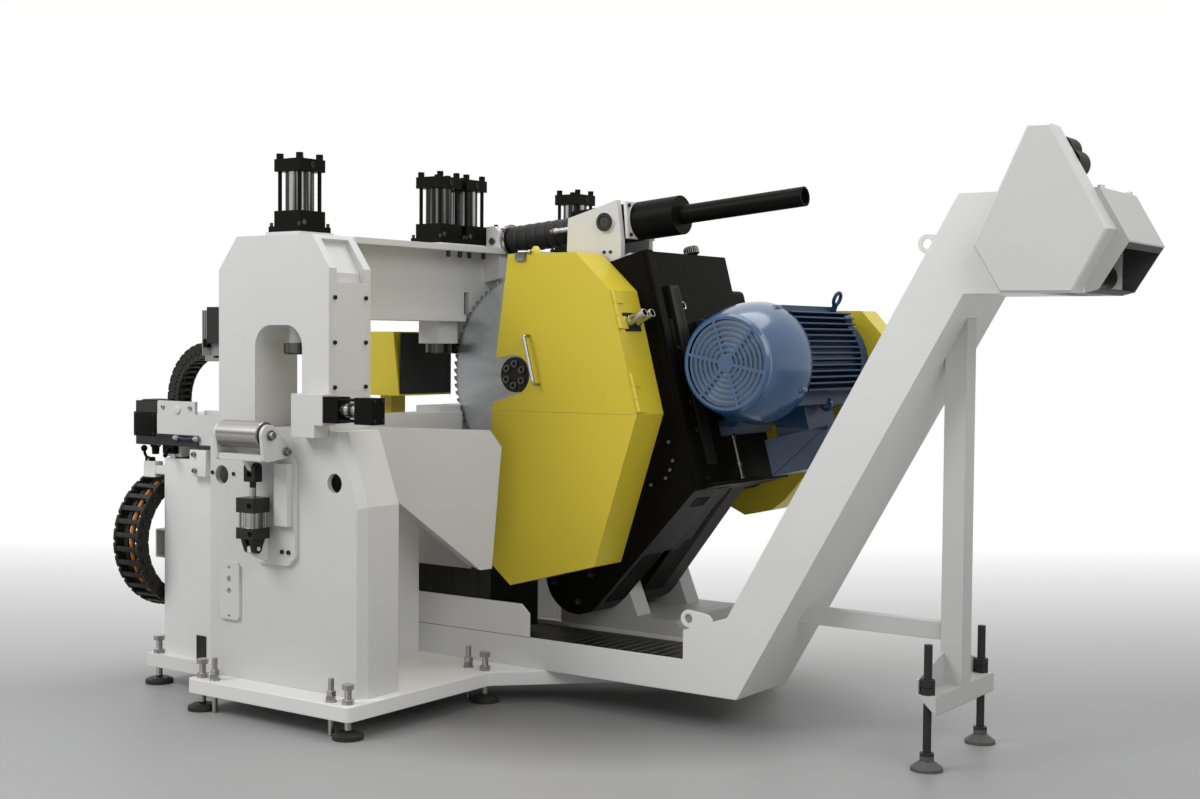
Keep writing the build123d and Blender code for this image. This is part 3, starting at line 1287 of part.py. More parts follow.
# Drive belt round both pulleys
with BuildPart() as drive_belt:
    with BuildSketch(head(BELT_Y + BELT_W - 2)):
        with Locations((MOTOR_U, MOTOR_W)):
            Circle(PULLEY_SMALL + GAP + BELT_T)
        with Locations((INPUT_U, INPUT_W)):
            Circle(PULLEY_LARGE + GAP + BELT_T)
        make_hull()
    extrude(amount=BELT_W - 4)
    with BuildSketch(head(BELT_Y + BELT_W - 2)):
        with Locations((MOTOR_U, MOTOR_W)):
            Circle(PULLEY_SMALL + GAP)
        with Locations((INPUT_U, INPUT_W)):
            Circle(PULLEY_LARGE + GAP)
        make_hull()
    extrude(amount=BELT_W - 4, mode=Mode.SUBTRACT)

# Yellow belt guard behind the motor
BELT_BACK = MOTOR_END + BELT_GUARD_L
BELT_GUARD = [
    (150, 1434), (473, 1430), (558, 1339), (566, 1320), (566, 1165), (152, 689), (94, 645), (-28, 617),
    (-216, 700), (-206, 900), (20, 1340),
]
with BuildPart() as belt_guard:
    with BuildSketch(facing(BELT_BACK)):
        with BuildLine():
            Polyline(*BELT_GUARD, close=True)
        make_face()
    extrude(amount=BELT_GUARD_L)
    with BuildSketch(facing(BELT_BACK - BELT_GUARD_T)):
        with BuildLine():
            Polyline(*BELT_GUARD, close=True)
        make_face()
        offset(amount=-BELT_GUARD_T, kind=Kind.INTERSECTION, mode=Mode.REPLACE)
    extrude(amount=BELT_GUARD_L - 2 * BELT_GUARD_T, mode=Mode.SUBTRACT)
    with BuildSketch(head(BELT_BACK - 20)):
        with Locations((MOTOR_U, MOTOR_W)):
            Circle(MOTOR_SHAFT_R + 4)
        with Locations((INPUT_U, INPUT_W)):
            Circle(INPUT_R + 4)
    extrude(amount=BELT_GUARD_L, mode=Mode.SUBTRACT)

# Feed drive: bracket on the beam, screw, bellows, trunnion nut with drive housing and tube
FEED_ANGLE = degrees(atan2(NUT_Z - BRACKET_Z, NUT_X - BRACKET_X))
FEED_LEN = hypot(NUT_Z - BRACKET_Z, NUT_X - BRACKET_X)
feed_dir = (cos(radians(FEED_ANGLE)), 0, sin(radians(FEED_ANGLE)))


def feed(s):
    """Plane square to the feed screw at distance s from its bracket pin."""
    return Plane(
        origin=(BRACKET_X + s * feed_dir[0], FEED_Y, BRACKET_Z + s * feed_dir[2]),
        x_dir=(0, 1, 0),
        z_dir=feed_dir,
    )


with BuildPart() as feed_bracket:
    for y in (FEED_Y - 33, FEED_Y + 55):
        with BuildSketch(facing(y)):
            with BuildLine():
                Polyline(
                    (BRACKET_X - 32, PORTAL_TOP),
                    (BRACKET_X + 40, PORTAL_TOP),
                    (BRACKET_X + 27, BRACKET_Z + 40),
                    (BRACKET_X + 10, BRACKET_Z + 58),
                    (BRACKET_X - 32, BRACKET_Z + 58),
                    close=True,
                )
            make_face()
            with Locations((BRACKET_X, BRACKET_Z)):
                Circle(14 + RUN, mode=Mode.SUBTRACT)
        extrude(amount=22)
    with BuildSketch(facing(FEED_Y + 33)):
        with Locations((BRACKET_X + 4, PORTAL_TOP + 2)):
            Rectangle(72, 4)
    extrude(amount=66)
    with BuildSketch(facing(FEED_Y + 55)):
        with BuildLine():
            Polyline(
                (RAIL_X + BEAM_WEB_W / 2, PORTAL_TOP - BEAM_PLATE_T),
                (BRACKET_X + 32, PORTAL_TOP - BEAM_PLATE_T),
                (BRACKET_X + 32, PORTAL_TOP - 116),
                (RAIL_X + BEAM_WEB_W / 2, PORTAL_TOP - 132),
                close=True,
            )
        make_face()
    extrude(amount=110)
with BuildPart() as feed_screw:
    with BuildSketch(facing(FEED_Y + 62)):
        with Locations((BRACKET_X, BRACKET_Z)):
            Circle(14)
    extrude(amount=124)
    with BuildSketch(facing(FEED_Y + 32)):
        with Locations((BRACKET_X, BRACKET_Z)):
            Circle(22)
    extrude(amount=64)
    with BuildSketch(feed(0)):
        Rectangle(64, 40)
    extrude(amount=48)
    with BuildSketch(feed(48)):
        Circle(BELLOWS_R + 10)
    extrude(amount=10)
    with BuildSketch(feed(58)):
        Circle(SCREW_R)
    extrude(amount=FEED_LEN + 180 - 58)
with BuildPart() as feed_nut:
    with BuildSketch(feed(FEED_LEN - 172)):
        Rectangle(NUT_BLOCK_W, NUT_BLOCK_H)
    extrude(amount=220)
    with BuildSketch(facing(FEED_Y + CHEEK_IN + CHEEK_T)):
        with Locations((NUT_X, NUT_Z)):
            Circle(FEED_PIN_R)
    extrude(amount=2 * (CHEEK_IN + CHEEK_T))
    with BuildSketch(feed(FEED_LEN + 48)):
        Circle(DRIVE_R)
    extrude(amount=216)
    with BuildSketch(feed(FEED_LEN + 264)):
        Circle(TUBE_R)
    extrude(amount=500)
    with BuildSketch(feed(FEED_LEN - 172)):
        Circle(NUT_BORE)
    extrude(amount=172 + 764, mode=Mode.SUBTRACT)
COLLAR_END = 58.0
BELLOWS_TURNS = 7
BELLOWS_L = FEED_LEN - 172 - 0.5 - COLLAR_END
turn = BELLOWS_L / BELLOWS_TURNS
folds = [(0, SCREW_R + 4), (0, BELLOWS_R)]
for i in range(1, BELLOWS_TURNS):
    folds += [(turn * i - 5, BELLOWS_R), (turn * i, BELLOWS_R - 8), (turn * i + 1, BELLOWS_R)]
folds += [(BELLOWS_L, BELLOWS_R), (BELLOWS_L, SCREW_R + 4)]
with BuildPart() as feed_bellows:
    with BuildSketch(Plane(origin=feed(COLLAR_END).origin, x_dir=feed_dir, z_dir=(0, -1, 0))):
        with BuildLine():
            Polyline(*folds, close=True)
        make_face()
    revolve(axis=Axis(feed(COLLAR_END).origin, feed_dir))

# Chip conveyor: side walls and a folded shell with an open trough
slope = radians(CONV_SLOPE)
CONV_DEPTH = 170.0
bend_x = CONV_KNEE + (CONV_BEND_LOW - BASE_TOP) * cos(slope) / sin(slope)
top_x = CONV_KNEE + (CONV_HEAD_TOP - BASE_TOP) * cos(slope) / sin(slope) - CONV_DEPTH / sin(slope)
knee_z = 382.0
knee_x = CONV_KNEE + (knee_z - BASE_TOP) * cos(slope) / sin(slope) - CONV_DEPTH / sin(slope)
TUNNEL = [
    (CONV_MOUTH, 327),
    (CONV_MOUTH, CONV_WALL),
    (CONV_LEFT, CONV_WALL),
    (CONV_LEFT, BASE_TOP),
    (CONV_KNEE, BASE_TOP),
    (bend_x, CONV_BEND_LOW),
    (CONV_HEAD_END, CONV_BEND_LOW),
    (CONV_HEAD_END, CONV_HEAD_TOP),
    (top_x, CONV_HEAD_TOP),
    (knee_x, knee_z),
]
with BuildPart() as conveyor_casing:
    with BuildSketch(facing(CONV_FAR - CONV_T)):
        with BuildLine():
            Polyline(*TUNNEL, close=True)
        make_face()
        offset(amount=-CONV_T, kind=Kind.INTERSECTION, mode=Mode.SUBTRACT)
        with Locations(((CONV_LEFT + CONV_MOUTH) / 2 + 20, CONV_WALL)):
            Rectangle(CONV_MOUTH - CONV_LEFT, 30, mode=Mode.SUBTRACT)
        with Locations((CONV_HEAD_END, CONV_BEND_LOW)):
            Rectangle(300, 240, mode=Mode.SUBTRACT)
    extrude(amount=CONV_FAR - CONV_NEAR - 2 * CONV_T)
    with BuildSketch(facing(CONV_FAR)):
        with BuildLine():
            Polyline(*TUNNEL, close=True)
        make_face()
        with Locations((DRUM_X, DRUM_Z)):
            Circle(DRUM_SHAFT_R + RUN, mode=Mode.SUBTRACT)
    extrude(amount=CONV_T)
    with BuildSketch(facing(CONV_NEAR + CONV_T)):
        with BuildLine():
            Polyline(*TUNNEL, close=True)
        make_face()
        with BuildLine():
            Polyline(
                (CONV_LEFT, CONV_WALL - 1),
                (CONV_FLAP_END, CONV_WALL - 1),
                (CONV_FLAP_END, CONV_FLAP - 33),
                (CONV_FLAP_END - 37, CONV_FLAP),
                (CONV_LEFT, CONV_FLAP),
                close=True,
            )
        make_face()
        with Locations((DRUM_X, DRUM_Z)):
            Circle(DRUM_SHAFT_R + RUN, mode=Mode.SUBTRACT)
    extrude(amount=CONV_T)
    for x, z in ((knee_x - 150, knee_z - 14), (top_x - 100, CONV_HEAD_TOP - 150)):
        with BuildSketch(facing(CONV_NEAR + CONV_T)):
            with Locations((x, z)):
                Circle(30)
            with Locations((x + 64, z - 12)):
                Circle(34)
            make_hull()
            with Locations((x, z)):
                Circle(16, mode=Mode.SUBTRACT)
        extrude(amount=CONV_T)
    for y in (CONV_NEAR + 80, CONV_FAR - 80):
        with Locations((CONV_KNEE - 60, y, BASE_TOP + CONV_T - 1)):
            Box(
                CONV_KNEE - CONV_LEFT - 160,
                24,
                LOOP_LIFT - CONV_T + 1,
                align=(Align.MAX, Align.CENTER, Align.MIN),
            )

# Conveyor belt: a loop of slats through trough, incline and head, lying on the casing's wear strips
inner = CONV_FAR - CONV_NEAR - 2 * CONV_T - 16
fold = (1 - cos(slope)) / sin(slope)
d_low = LOOP_LIFT
d_high = LOOP_LIFT + LOOP_H
belt_left = CONV_LEFT + 20
belt_right = DRUM_X + LOOP_H / 2
with BuildPart() as conveyor_belt:
    with BuildSketch(facing(CONV_FAR - CONV_T - 8)) as belt_loop:
        with BuildLine():
            Polyline(
                (belt_left, BASE_TOP + d_low),
                (CONV_KNEE - d_low * fold, BASE_TOP + d_low),
                (bend_x - d_low * fold, CONV_BEND_LOW + d_low),
                (belt_right, CONV_BEND_LOW + d_low),
                (belt_right, CONV_BEND_LOW + d_high),
                (bend_x - d_high * fold, CONV_BEND_LOW + d_high),
                (CONV_KNEE - d_high * fold, BASE_TOP + d_high),
                (belt_left, BASE_TOP + d_high),
                close=True,
            )
        make_face()
        ends = belt_loop.vertices().sort_by(Axis.X)
        fillet(ends[:2] + ends[-2:], LOOP_H / 2 - 0.5)
        offset(amount=-SLAT_T, mode=Mode.SUBTRACT)
    extrude(amount=inner)
    with BuildSketch(facing(CONV_FAR - CONV_T - 8)):
        with Locations((-310, BASE_TOP + d_high)):
            with GridLocations(44, 0, 26, 1):
                Rectangle(6, 8)
    extrude(amount=inner, mode=Mode.SUBTRACT)

# Head shaft with sprockets
with BuildPart() as conveyor_shaft:
    with BuildSketch(facing(CONV_FAR + 20)):
        with Locations((DRUM_X, DRUM_Z)):
            Circle(DRUM_SHAFT_R)
    extrude(amount=CONV_FAR + 20 - CONV_NEAR + 50)
    for y in (CONV_NEAR + 70, CONV_FAR - 50):
        with BuildSketch(facing(y)):
            with Locations((DRUM_X, DRUM_Z)):
                RegularPolygon(DRUM_R - 1, 10)
        extrude(amount=20)

# Hexagonal chain cover and discharge hood
COVER_DEPTH = 83.0
HEX = [
    (CONV_HEAD_END - 314, CONV_HEAD_TOP - 163),
    (CONV_HEAD_END - 152, CONV_HEAD_TOP + 184),
    (CONV_HEAD_END - 84, CONV_HEAD_TOP + 182),
    (CONV_HEAD_END + 89, CONV_HEAD_TOP - 125),
    (CONV_HEAD_END - 11, CONV_BEND_LOW - 1),
    (CONV_HEAD_END - 228, CONV_BEND_LOW + 1),
]
with BuildPart() as chain_cover:
    with BuildSketch(facing(CONV_NEAR)):
        with BuildLine():
            Polyline(*HEX, close=True)
        make_face()
    extrude(amount=COVER_DEPTH)
    chamfer(chain_cover.faces().sort_by(Axis.Y)[0].edges(), 6)
    with BuildSketch(facing(CONV_NEAR)):
        with BuildLine():
            Polyline(*HEX, close=True)
        make_face()
        offset(amount=-10, kind=Kind.INTERSECTION, mode=Mode.REPLACE)
    extrude(amount=COVER_DEPTH - 8, mode=Mode.SUBTRACT)
HOOD = [
    (CONV_HEAD_END, CONV_HEAD_TOP),
    (CONV_HEAD_END + 36, CONV_HEAD_TOP),
    (REACH_X, CONV_HEAD_TOP - 157),
    (CONV_HEAD_END + 38, CONV_BEND_LOW + 10),
    (CONV_HEAD_END, CONV_BEND_LOW),
]
with BuildPart() as discharge_hood:
    with BuildSketch(facing(CONV_FAR)):
        with BuildLine():
            Polyline(*HOOD, close=True)
        make_face()
        offset(amount=-CONV_T, kind=Kind.INTERSECTION, mode=Mode.SUBTRACT)
        with Locations((CONV_HEAD_END, (CONV_HEAD_TOP + CONV_BEND_LOW) / 2)):
            Rectangle(30, CONV_HEAD_TOP - CONV_BEND_LOW - 2 * CONV_T - 14, mode=Mode.SUBTRACT)
        with BuildLine():
            Polyline(
                (REACH_X - 20, CONV_HEAD_TOP - 176),
                (REACH_X + 20, CONV_HEAD_TOP - 190),
                (CONV_HEAD_END + 60, CONV_BEND_LOW - 20),
                (CONV_HEAD_END + 20, CONV_BEND_LOW + 30),
                close=True,
            )
        make_face(mode=Mode.SUBTRACT)
    extrude(amount=CONV_FAR - CONV_NEAR)
    for y in (CONV_FAR, CONV_NEAR + CONV_T):
        with BuildSketch(facing(y)):
            with BuildLine():
                Polyline(*HOOD, close=True)
            make_face()
        extrude(amount=CONV_T)

# Gearmotor on top of the conveyor head, behind the chain cover
GEAR_X = CONV_HEAD_END - 65.0
GEAR_Z = CONV_HEAD_TOP + 76
with BuildPart() as conveyor_gearmotor:
    with BuildSketch(facing(CONV_NEAR + 96)):
        with Locations((GEAR_X, GEAR_Z)):
            Circle(42)
        with Locations((GEAR_X - 24, GEAR_Z + 41)):
            Circle(40)
        with BuildLine():
            Polyline(
                (GEAR_X - 64, CONV_HEAD_TOP),
                (GEAR_X + 8, CONV_HEAD_TOP),
                (GEAR_X + 20, GEAR_Z),
                (GEAR_X - 60, GEAR_Z + 41),
                close=True,
            )
        make_face()
    extrude(amount=92)

# Conveyor stand: leg, strut and foot beam
def under(x):
    """Height of the conveyor's underside above the point x of the slope."""
    return BASE_TOP + (x - CONV_KNEE) * sin(slope) / cos(slope)


with BuildPart() as conveyor_stand:
    with BuildSketch(facing(CONV_MID + LEG_W / 2)):
        with BuildLine():
            Polyline(
                (STAND_X - LEG_W / 2, LEG_LOW),
                (STAND_X + LEG_W / 2, LEG_LOW),
                (STAND_X + LEG_W / 2, under(STAND_X + LEG_W / 2)),
                (STAND_X - LEG_W / 2, under(STAND_X - LEG_W / 2)),
                close=True,
            )
        make_face()
    extrude(amount=LEG_W)
    with BuildSketch(facing(CONV_MID + 22)):
        with BuildLine():
            Polyline(
                (CONV_KNEE + (370 - BASE_TOP) * cos(slope) / sin(slope), 370),
                (STAND_X - LEG_W / 2, 370),
                (STAND_X - LEG_W / 2, 426),
                (CONV_KNEE + (426 - BASE_TOP) * cos(slope) / sin(slope), 426),
                close=True,
            )
        make_face()
    extrude(amount=44)
    with BuildSketch(facing(CONV_MID + FOOT_SPREAD + 20)):
        with BuildLine():
            Polyline(
                (STAND_X - LEG_W / 2 + 6, LEG_LOW),
                (STAND_X + LEG_W / 2, LEG_LOW),
                (STAND_X + LEG_W / 2, LEG_LOW - 60),
                close=True,
            )
        make_face()
    extrude(amount=2 * FOOT_SPREAD + 40)
    with BuildSketch(along(STAND_X - LEG_W / 2 + 6)):
        with BuildLine():
            Polyline(
                (CONV_MID - FOOT_SPREAD - 16, LEG_LOW - 2),
                (CONV_MID + FOOT_SPREAD + 16, LEG_LOW - 2),
                (CONV_MID + FOOT_SPREAD + 16, LEG_LOW + 44),
                (CONV_MID + LEG_W / 2, LEG_LOW + 100),
                (CONV_MID - LEG_W / 2, LEG_LOW + 100),
                (CONV_MID - FOOT_SPREAD - 16, LEG_LOW + 44),
                close=True,
            )
        make_face()
    extrude(amount=6)
    with BuildSketch(Plane.XY.offset(LEG_LOW)):
        with Locations((STAND_X, CONV_MID - FOOT_SPREAD), (STAND_X, CONV_MID + FOOT_SPREAD)):
            Circle(FOOT_STUD_R + 1)
    extrude(amount=-120, mode=Mode.SUBTRACT)

# Stand of the feed carriage beside the rail
with BuildPart() as side_stand:
    with BuildSketch(Plane.XY.offset(FLOOR_GAP)) as side_outline:
        with Locations(((SIDE_PLATE_LEFT + BASE_LEFT) / 2, 0)):
            Rectangle(BASE_LEFT - SIDE_PLATE_LEFT, 2 * SIDE_PLATE_HALF)
        with Locations(*SIDE_JACKS):
            Circle(JACK_R + 1, mode=Mode.SUBTRACT)
    extrude(amount=BASE_T)
    with BuildSketch(Plane.XY.offset(BASE_TOP)):
        with Locations(((SIDE_LEFT + SIDE_RIGHT) / 2, 0)):
            Rectangle(SIDE_RIGHT - SIDE_LEFT, -2 * SIDE_FRONT)
    extrude(amount=SIDE_TOP - BASE_TOP)
    with BuildSketch(facing(600)):
        with Locations((CHAIN_LEFT + CHAIN_W / 2, CHAIN_Z - 20)):
            Rectangle(70, 108)
            Rectangle(58, 96, mode=Mode.SUBTRACT)
    extrude(amount=1320)
    for y in (-400, 400):
        with BuildSketch(facing(y + 40)):
            with Locations(((CHAIN_LEFT + CHAIN_W / 2 + 35 + SIDE_LEFT) / 2, CHAIN_Z - 20)):
                Rectangle(SIDE_LEFT - CHAIN_LEFT - CHAIN_W / 2 - 35, 60)
        extrude(amount=80)
    with BuildSketch(facing(30)):
        with Locations((CHAIN_LEFT + CHAIN_W / 2 + 40, CHAIN_Z - CHAIN_R + 5)):
            Rectangle(2 * (SIDE_LEFT - CHAIN_LEFT - CHAIN_W / 2 - 40), 10)
    extrude(amount=60)
with BuildPart() as slide_rails:
    for x in SLIDE_X:
        with BuildSketch(facing(REACH_Y)):
            with Locations((x, SIDE_TOP + SLIDE_H / 2)):
                Rectangle(SLIDE_W, SLIDE_H)
        extrude(amount=REACH_Y - SIDE_FRONT)

# Feed carriage with cross beam, front plate, shelf with a guide rail and servo motor
SHOE_TOP = SIDE_TOP + SLIDE_H + 30
BEAM_L = SIDE_LEFT - 11
BEAM_R = SIDE_RIGHT - 41
GUIDE_Y = CROSS_Y + CROSS_W / 2
with BuildPart() as side_carriage:
    for x in SLIDE_X:
        with BuildSketch(facing(CARRIAGE_BACK)):
            with Locations((x, (SIDE_TOP + 6 + SHOE_TOP) / 2)):
                Rectangle(SLIDE_W + 52, SHOE_TOP - SIDE_TOP - 6)
            with Locations((x, SIDE_TOP + SLIDE_H / 2)):
                Rectangle(SLIDE_W + 2 * GAP, SLIDE_H + 2 * GAP, mode=Mode.SUBTRACT)
        extrude(amount=CARRIAGE_L - 30)
    with BuildSketch(facing(CARRIAGE_BACK)):
        with Locations(((BEAM_L + BEAM_R) / 2, (SHOE_TOP + CROSS_TOP) / 2)):
            Rectangle(BEAM_R - BEAM_L, CROSS_TOP - SHOE_TOP)
    extrude(amount=CARRIAGE_L)
    with BuildSketch(facing(CARRIAGE_FRONT + 12)):
        with Locations((BEAM_L + 5, CROSS_TOP)):
            Rectangle(206, 48, align=(Align.MIN, Align.MIN))
    extrude(amount=12)
    with BuildSketch(facing(GUIDE_Y + 45)):
        with Locations((GRIP_X + 5, CROSS_TOP)):
            Rectangle(GRIP_X + 5 - BEAM_R + 60, 20, align=(Align.MAX, Align.MAX))
    extrude(amount=90)
    with BuildSketch(facing(GUIDE_Y + 12)):
        with Locations((GRIP_X + 5, CROSS_TOP)):
            Rectangle(GRIP_X + 5 - BEAM_R + 140, 16, align=(Align.MAX, Align.MIN))
    extrude(amount=24)
    with BuildSketch(facing(CARRIAGE_FRONT + 110)):
        with Locations((SIDE_LEFT - 74, 986)):
            Rectangle(128, 166)
        with Locations((SIDE_LEFT - 24, 990)):
            Rectangle(40, 60)
    extrude(amount=105)
    with BuildSketch(facing(CARRIAGE_BACK)):
        with Locations((SIDE_LEFT - 51, (CHAIN_Z + CHAIN_R + CHAIN_H + 960) / 2)):
            Rectangle(80, 960 - CHAIN_Z - CHAIN_R - CHAIN_H)
    extrude(amount=60)

# Gripper slide: shoe and column on the guide rail, plate, actuator and tongue for the small chain
with BuildPart() as gripper_slide:
    with BuildSketch(along(GRIP_X)):
        with Locations((GUIDE_Y, CROSS_TOP + GAP)):
            Rectangle(CROSS_W, GRIP_HIGH - CROSS_TOP - GAP - 60, align=(Align.CENTER, Align.MIN))
            Rectangle(24 + 2 * GAP, 16, align=(Align.CENTER, Align.MIN), mode=Mode.SUBTRACT)
    extrude(amount=-COLUMN_W)
    with BuildSketch(facing(CROSS_Y)):
        with Locations((GRIP_X, GRIP_LOW)):
            Rectangle(GRIP_REACH, GRIP_HIGH - GRIP_LOW, align=(Align.MAX, Align.MIN))
    extrude(amount=GRIP_T)
    with BuildSketch(facing(CROSS_Y - GRIP_T)):
        with Locations((GRIP_X - 50, GRIP_HIGH + 11)):
            Rectangle(100, 132, align=(Align.MAX, Align.MAX))
    extrude(amount=20)
    with BuildSketch(facing(CROSS_Y - GRIP_T + CROSS_W + 12)):
        with Locations((CROSS_X + 6, CROSS_Z + CROSS_R - GAP)):
            Rectangle(GRIP_X - COLUMN_W - CROSS_X, GRIP_T, align=(Align.MIN, Align.MAX))
    extrude(amount=CROSS_W + 12)
    with BuildSketch(facing(CROSS_Y)):
        with Locations((CROSS_X + 6, CROSS_Z + CROSS_R - GAP - GRIP_T)):
            Rectangle(46, GRIP_LOW - CROSS_Z - CROSS_R + GRIP_T + 20, align=(Align.MIN, Align.MIN))
    extrude(amount=GRIP_T)

# Small cable chain from the carriage up to the gripper slide
CROSS_BAR = 6.0
with BuildPart() as cross_chain:
    for y in (CROSS_Y + CROSS_BAND, CROSS_Y + CROSS_W):
        with BuildSketch(facing(y)):
            with BuildLine():
                Polyline((CROSS_X + 44, CROSS_Z + CROSS_R), (CROSS_X, CROSS_Z + CROSS_R))
                CenterArc((CROSS_X, CROSS_Z), CROSS_R, 90, 90)
                Polyline(
                    (CROSS_X - CROSS_R, CROSS_Z),
                    (CROSS_X - CROSS_R, CROSS_TOP),
                    (CROSS_X - CROSS_R - CROSS_H, CROSS_TOP),
                    (CROSS_X - CROSS_R - CROSS_H, CROSS_Z),
                )
                CenterArc((CROSS_X, CROSS_Z), CROSS_R + CROSS_H, 90, 90)
                Polyline(
                    (CROSS_X, CROSS_Z + CROSS_R + CROSS_H),
                    (CROSS_X + 44, CROSS_Z + CROSS_R + CROSS_H),
                    (CROSS_X + 44, CROSS_Z + CROSS_R),
                )
            make_face()
        extrude(amount=CROSS_BAND)
    for ring in (CROSS_R + 2 + CROSS_BAR / 2, CROSS_R + CROSS_H - 2 - CROSS_BAR / 2):
        with BuildSketch(facing(CROSS_Y + CROSS_W - CROSS_BAND)):
            with Locations((CROSS_X, CROSS_Z)):
                with PolarLocations(ring, 8, start_angle=96, angular_range=84):
                    Rectangle(CROSS_BAR, LINK_PITCH * 0.4)
        extrude(amount=CROSS_W - 2 * CROSS_BAND)

# Large cable chain: side bands joined by cross bars
BAND_T = 16.0
BAR_T = 7.0
CHAIN_OUT = CHAIN_R + CHAIN_H
link_count = round(180 / degrees(LINK_PITCH / CHAIN_OUT))
with BuildPart() as cable_chain:
    for x in (CHAIN_LEFT, CHAIN_LEFT + CHAIN_W - BAND_T):
        with BuildSketch(along(x)):
            with BuildLine():
                Polyline((CARRIAGE_BACK, CHAIN_Z + CHAIN_R), (CHAIN_Y, CHAIN_Z + CHAIN_R))
                CenterArc((CHAIN_Y, CHAIN_Z), CHAIN_R, 90, 180)
                Polyline(
                    (CHAIN_Y, CHAIN_Z - CHAIN_R),
                    (CHAIN_END, CHAIN_Z - CHAIN_R),
                    (CHAIN_END, CHAIN_Z - CHAIN_OUT),
                    (CHAIN_Y, CHAIN_Z - CHAIN_OUT),
                )
                CenterArc((CHAIN_Y, CHAIN_Z), CHAIN_OUT, 90, 180)
                Polyline(
                    (CHAIN_Y, CHAIN_Z + CHAIN_OUT),
                    (CARRIAGE_BACK, CHAIN_Z + CHAIN_OUT),
                    (CARRIAGE_BACK, CHAIN_Z + CHAIN_R),
                )
            make_face()
        extrude(amount=BAND_T)
    for ring in (CHAIN_R + 2 + BAR_T / 2, CHAIN_OUT - 2 - BAR_T / 2):
        with BuildSketch(along(CHAIN_LEFT + BAND_T)):
            with Locations((CHAIN_Y, CHAIN_Z)):
                with PolarLocations(ring, link_count, 90 + 90 / link_count, 180 - 180 / link_count):
                    Rectangle(BAR_T, LINK_PITCH * 0.4)
            with Locations(((CHAIN_Y + CHAIN_END) / 2 + 8, CHAIN_Z - ring)):
                with GridLocations(LINK_PITCH, 0, int((CHAIN_END - CHAIN_Y) / LINK_PITCH), 1):
                    Rectangle(LINK_PITCH * 0.4, BAR_T)
            with Locations(((CHAIN_Y + CARRIAGE_BACK) / 2 + 6, CHAIN_Z + ring)):
                with GridLocations(LINK_PITCH, 0, int((CARRIAGE_BACK - CHAIN_Y) / LINK_PITCH), 1):
                    Rectangle(LINK_PITCH * 0.4, BAR_T)
        extrude(amount=CHAIN_W - 2 * BAND_T)

# Cables lying in the chain
CABLE_R = 9.0
cable_ring = CHAIN_R + 2 + BAR_T + CABLE_R + GAP
with BuildPart() as chain_cables:
    for k in range(3):
        x = CHAIN_LEFT + BAND_T + 24 + 30 * k
        with BuildLine():
            run_in = Line((x, CARRIAGE_BACK, CHAIN_Z + cable_ring), (x, CHAIN_Y, CHAIN_Z + cable_ring))
            ThreePointArc(
                (x, CHAIN_Y, CHAIN_Z + cable_ring),
                (x, CHAIN_Y - cable_ring, CHAIN_Z),
                (x, CHAIN_Y, CHAIN_Z - cable_ring),
            )
            Line((x, CHAIN_Y, CHAIN_Z - cable_ring), (x, CHAIN_END, CHAIN_Z - cable_ring))
        with BuildSketch(Plane(origin=run_in @ 0, z_dir=run_in % 0)):
            Circle(CABLE_R)
        sweep()

# Names of the finished pieces
pieces = {
    "base_plate": base_plate,
    "levelling_feet": levelling_feet,
    "anchor_studs": anchor_studs,
    "infeed_pedestal": infeed_pedestal,
    "outfeed_pedestal": outfeed_pedestal,
    "infeed_portal": infeed_portal,
    "outfeed_portal": outfeed_portal,
    "cover_plates": cover_plates,
    "bridge_beam": bridge_beam,
    "clamp_heads": clamp_heads,
    "clamp_barrels": clamp_barrels,
    "clamp_tie_rods": clamp_tie_rods,
    "clamp_guides": clamp_guides,
    "side_clamp_block": side_clamp_block,
    "side_clamp_ram": side_clamp_ram,
    "lift_bracket": lift_bracket,
    "lift_arm": lift_arm,
    "lift_roller": lift_roller,
    "lift_cylinder": lift_cylinder,
    "lift_rod": lift_rod,
    "rail_bed": rail_bed,
    "chip_chute": chip_chute,
    "rear_guard": rear_guard,
    "pivot_base": pivot_base,
    "pivot_shaft": pivot_shaft,
    "head_housing": head_housing,
    "spindle": spindle,
    "saw_blade": saw_blade,
    "guard_shell": guard_shell,
    "guard_door": guard_door,
    "door_handle": door_handle,
    "trunnion_bracket": trunnion_bracket,
    "motor_frame": motor_frame,
    "motor_cowl": motor_cowl,
    "motor_rotor": motor_rotor,
    "pinion_shaft": pinion_shaft,
    "drive_belt": drive_belt,
    "belt_guard": belt_guard,
    "feed_bracket": feed_bracket,
    "feed_screw": feed_screw,
    "feed_nut": feed_nut,
    "feed_bellows": feed_bellows,
    "conveyor_casing": conveyor_casing,
    "conveyor_belt": conveyor_belt,
    "conveyor_shaft": conveyor_shaft,
    "chain_cover": chain_cover,
    "discharge_hood": discharge_hood,
    "conveyor_gearmotor": conveyor_gearmotor,
    "conveyor_stand": conveyor_stand,
    "side_stand": side_stand,
    "slide_rails": slide_rails,
    "side_carriage": side_carriage,
    "gripper_slide": gripper_slide,
    "cross_chain": cross_chain,
    "cable_chain": cable_chain,
    "chain_cables": chain_cables,
}
for number, clamp_rod in enumerate(clamp_rods, start=1):
    pieces[f"clamp_rod_{number}"] = clamp_rod

os.makedirs("parts", exist_ok=True)
for name, piece in pieces.items():
    piece.part.label = name
    export_step(piece.part, f"parts/{name}.step")
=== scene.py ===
import json
from math import acos, atan2, cos, hypot, pi, radians, sin

import bmesh
import bpy
from mathutils import Matrix, Vector


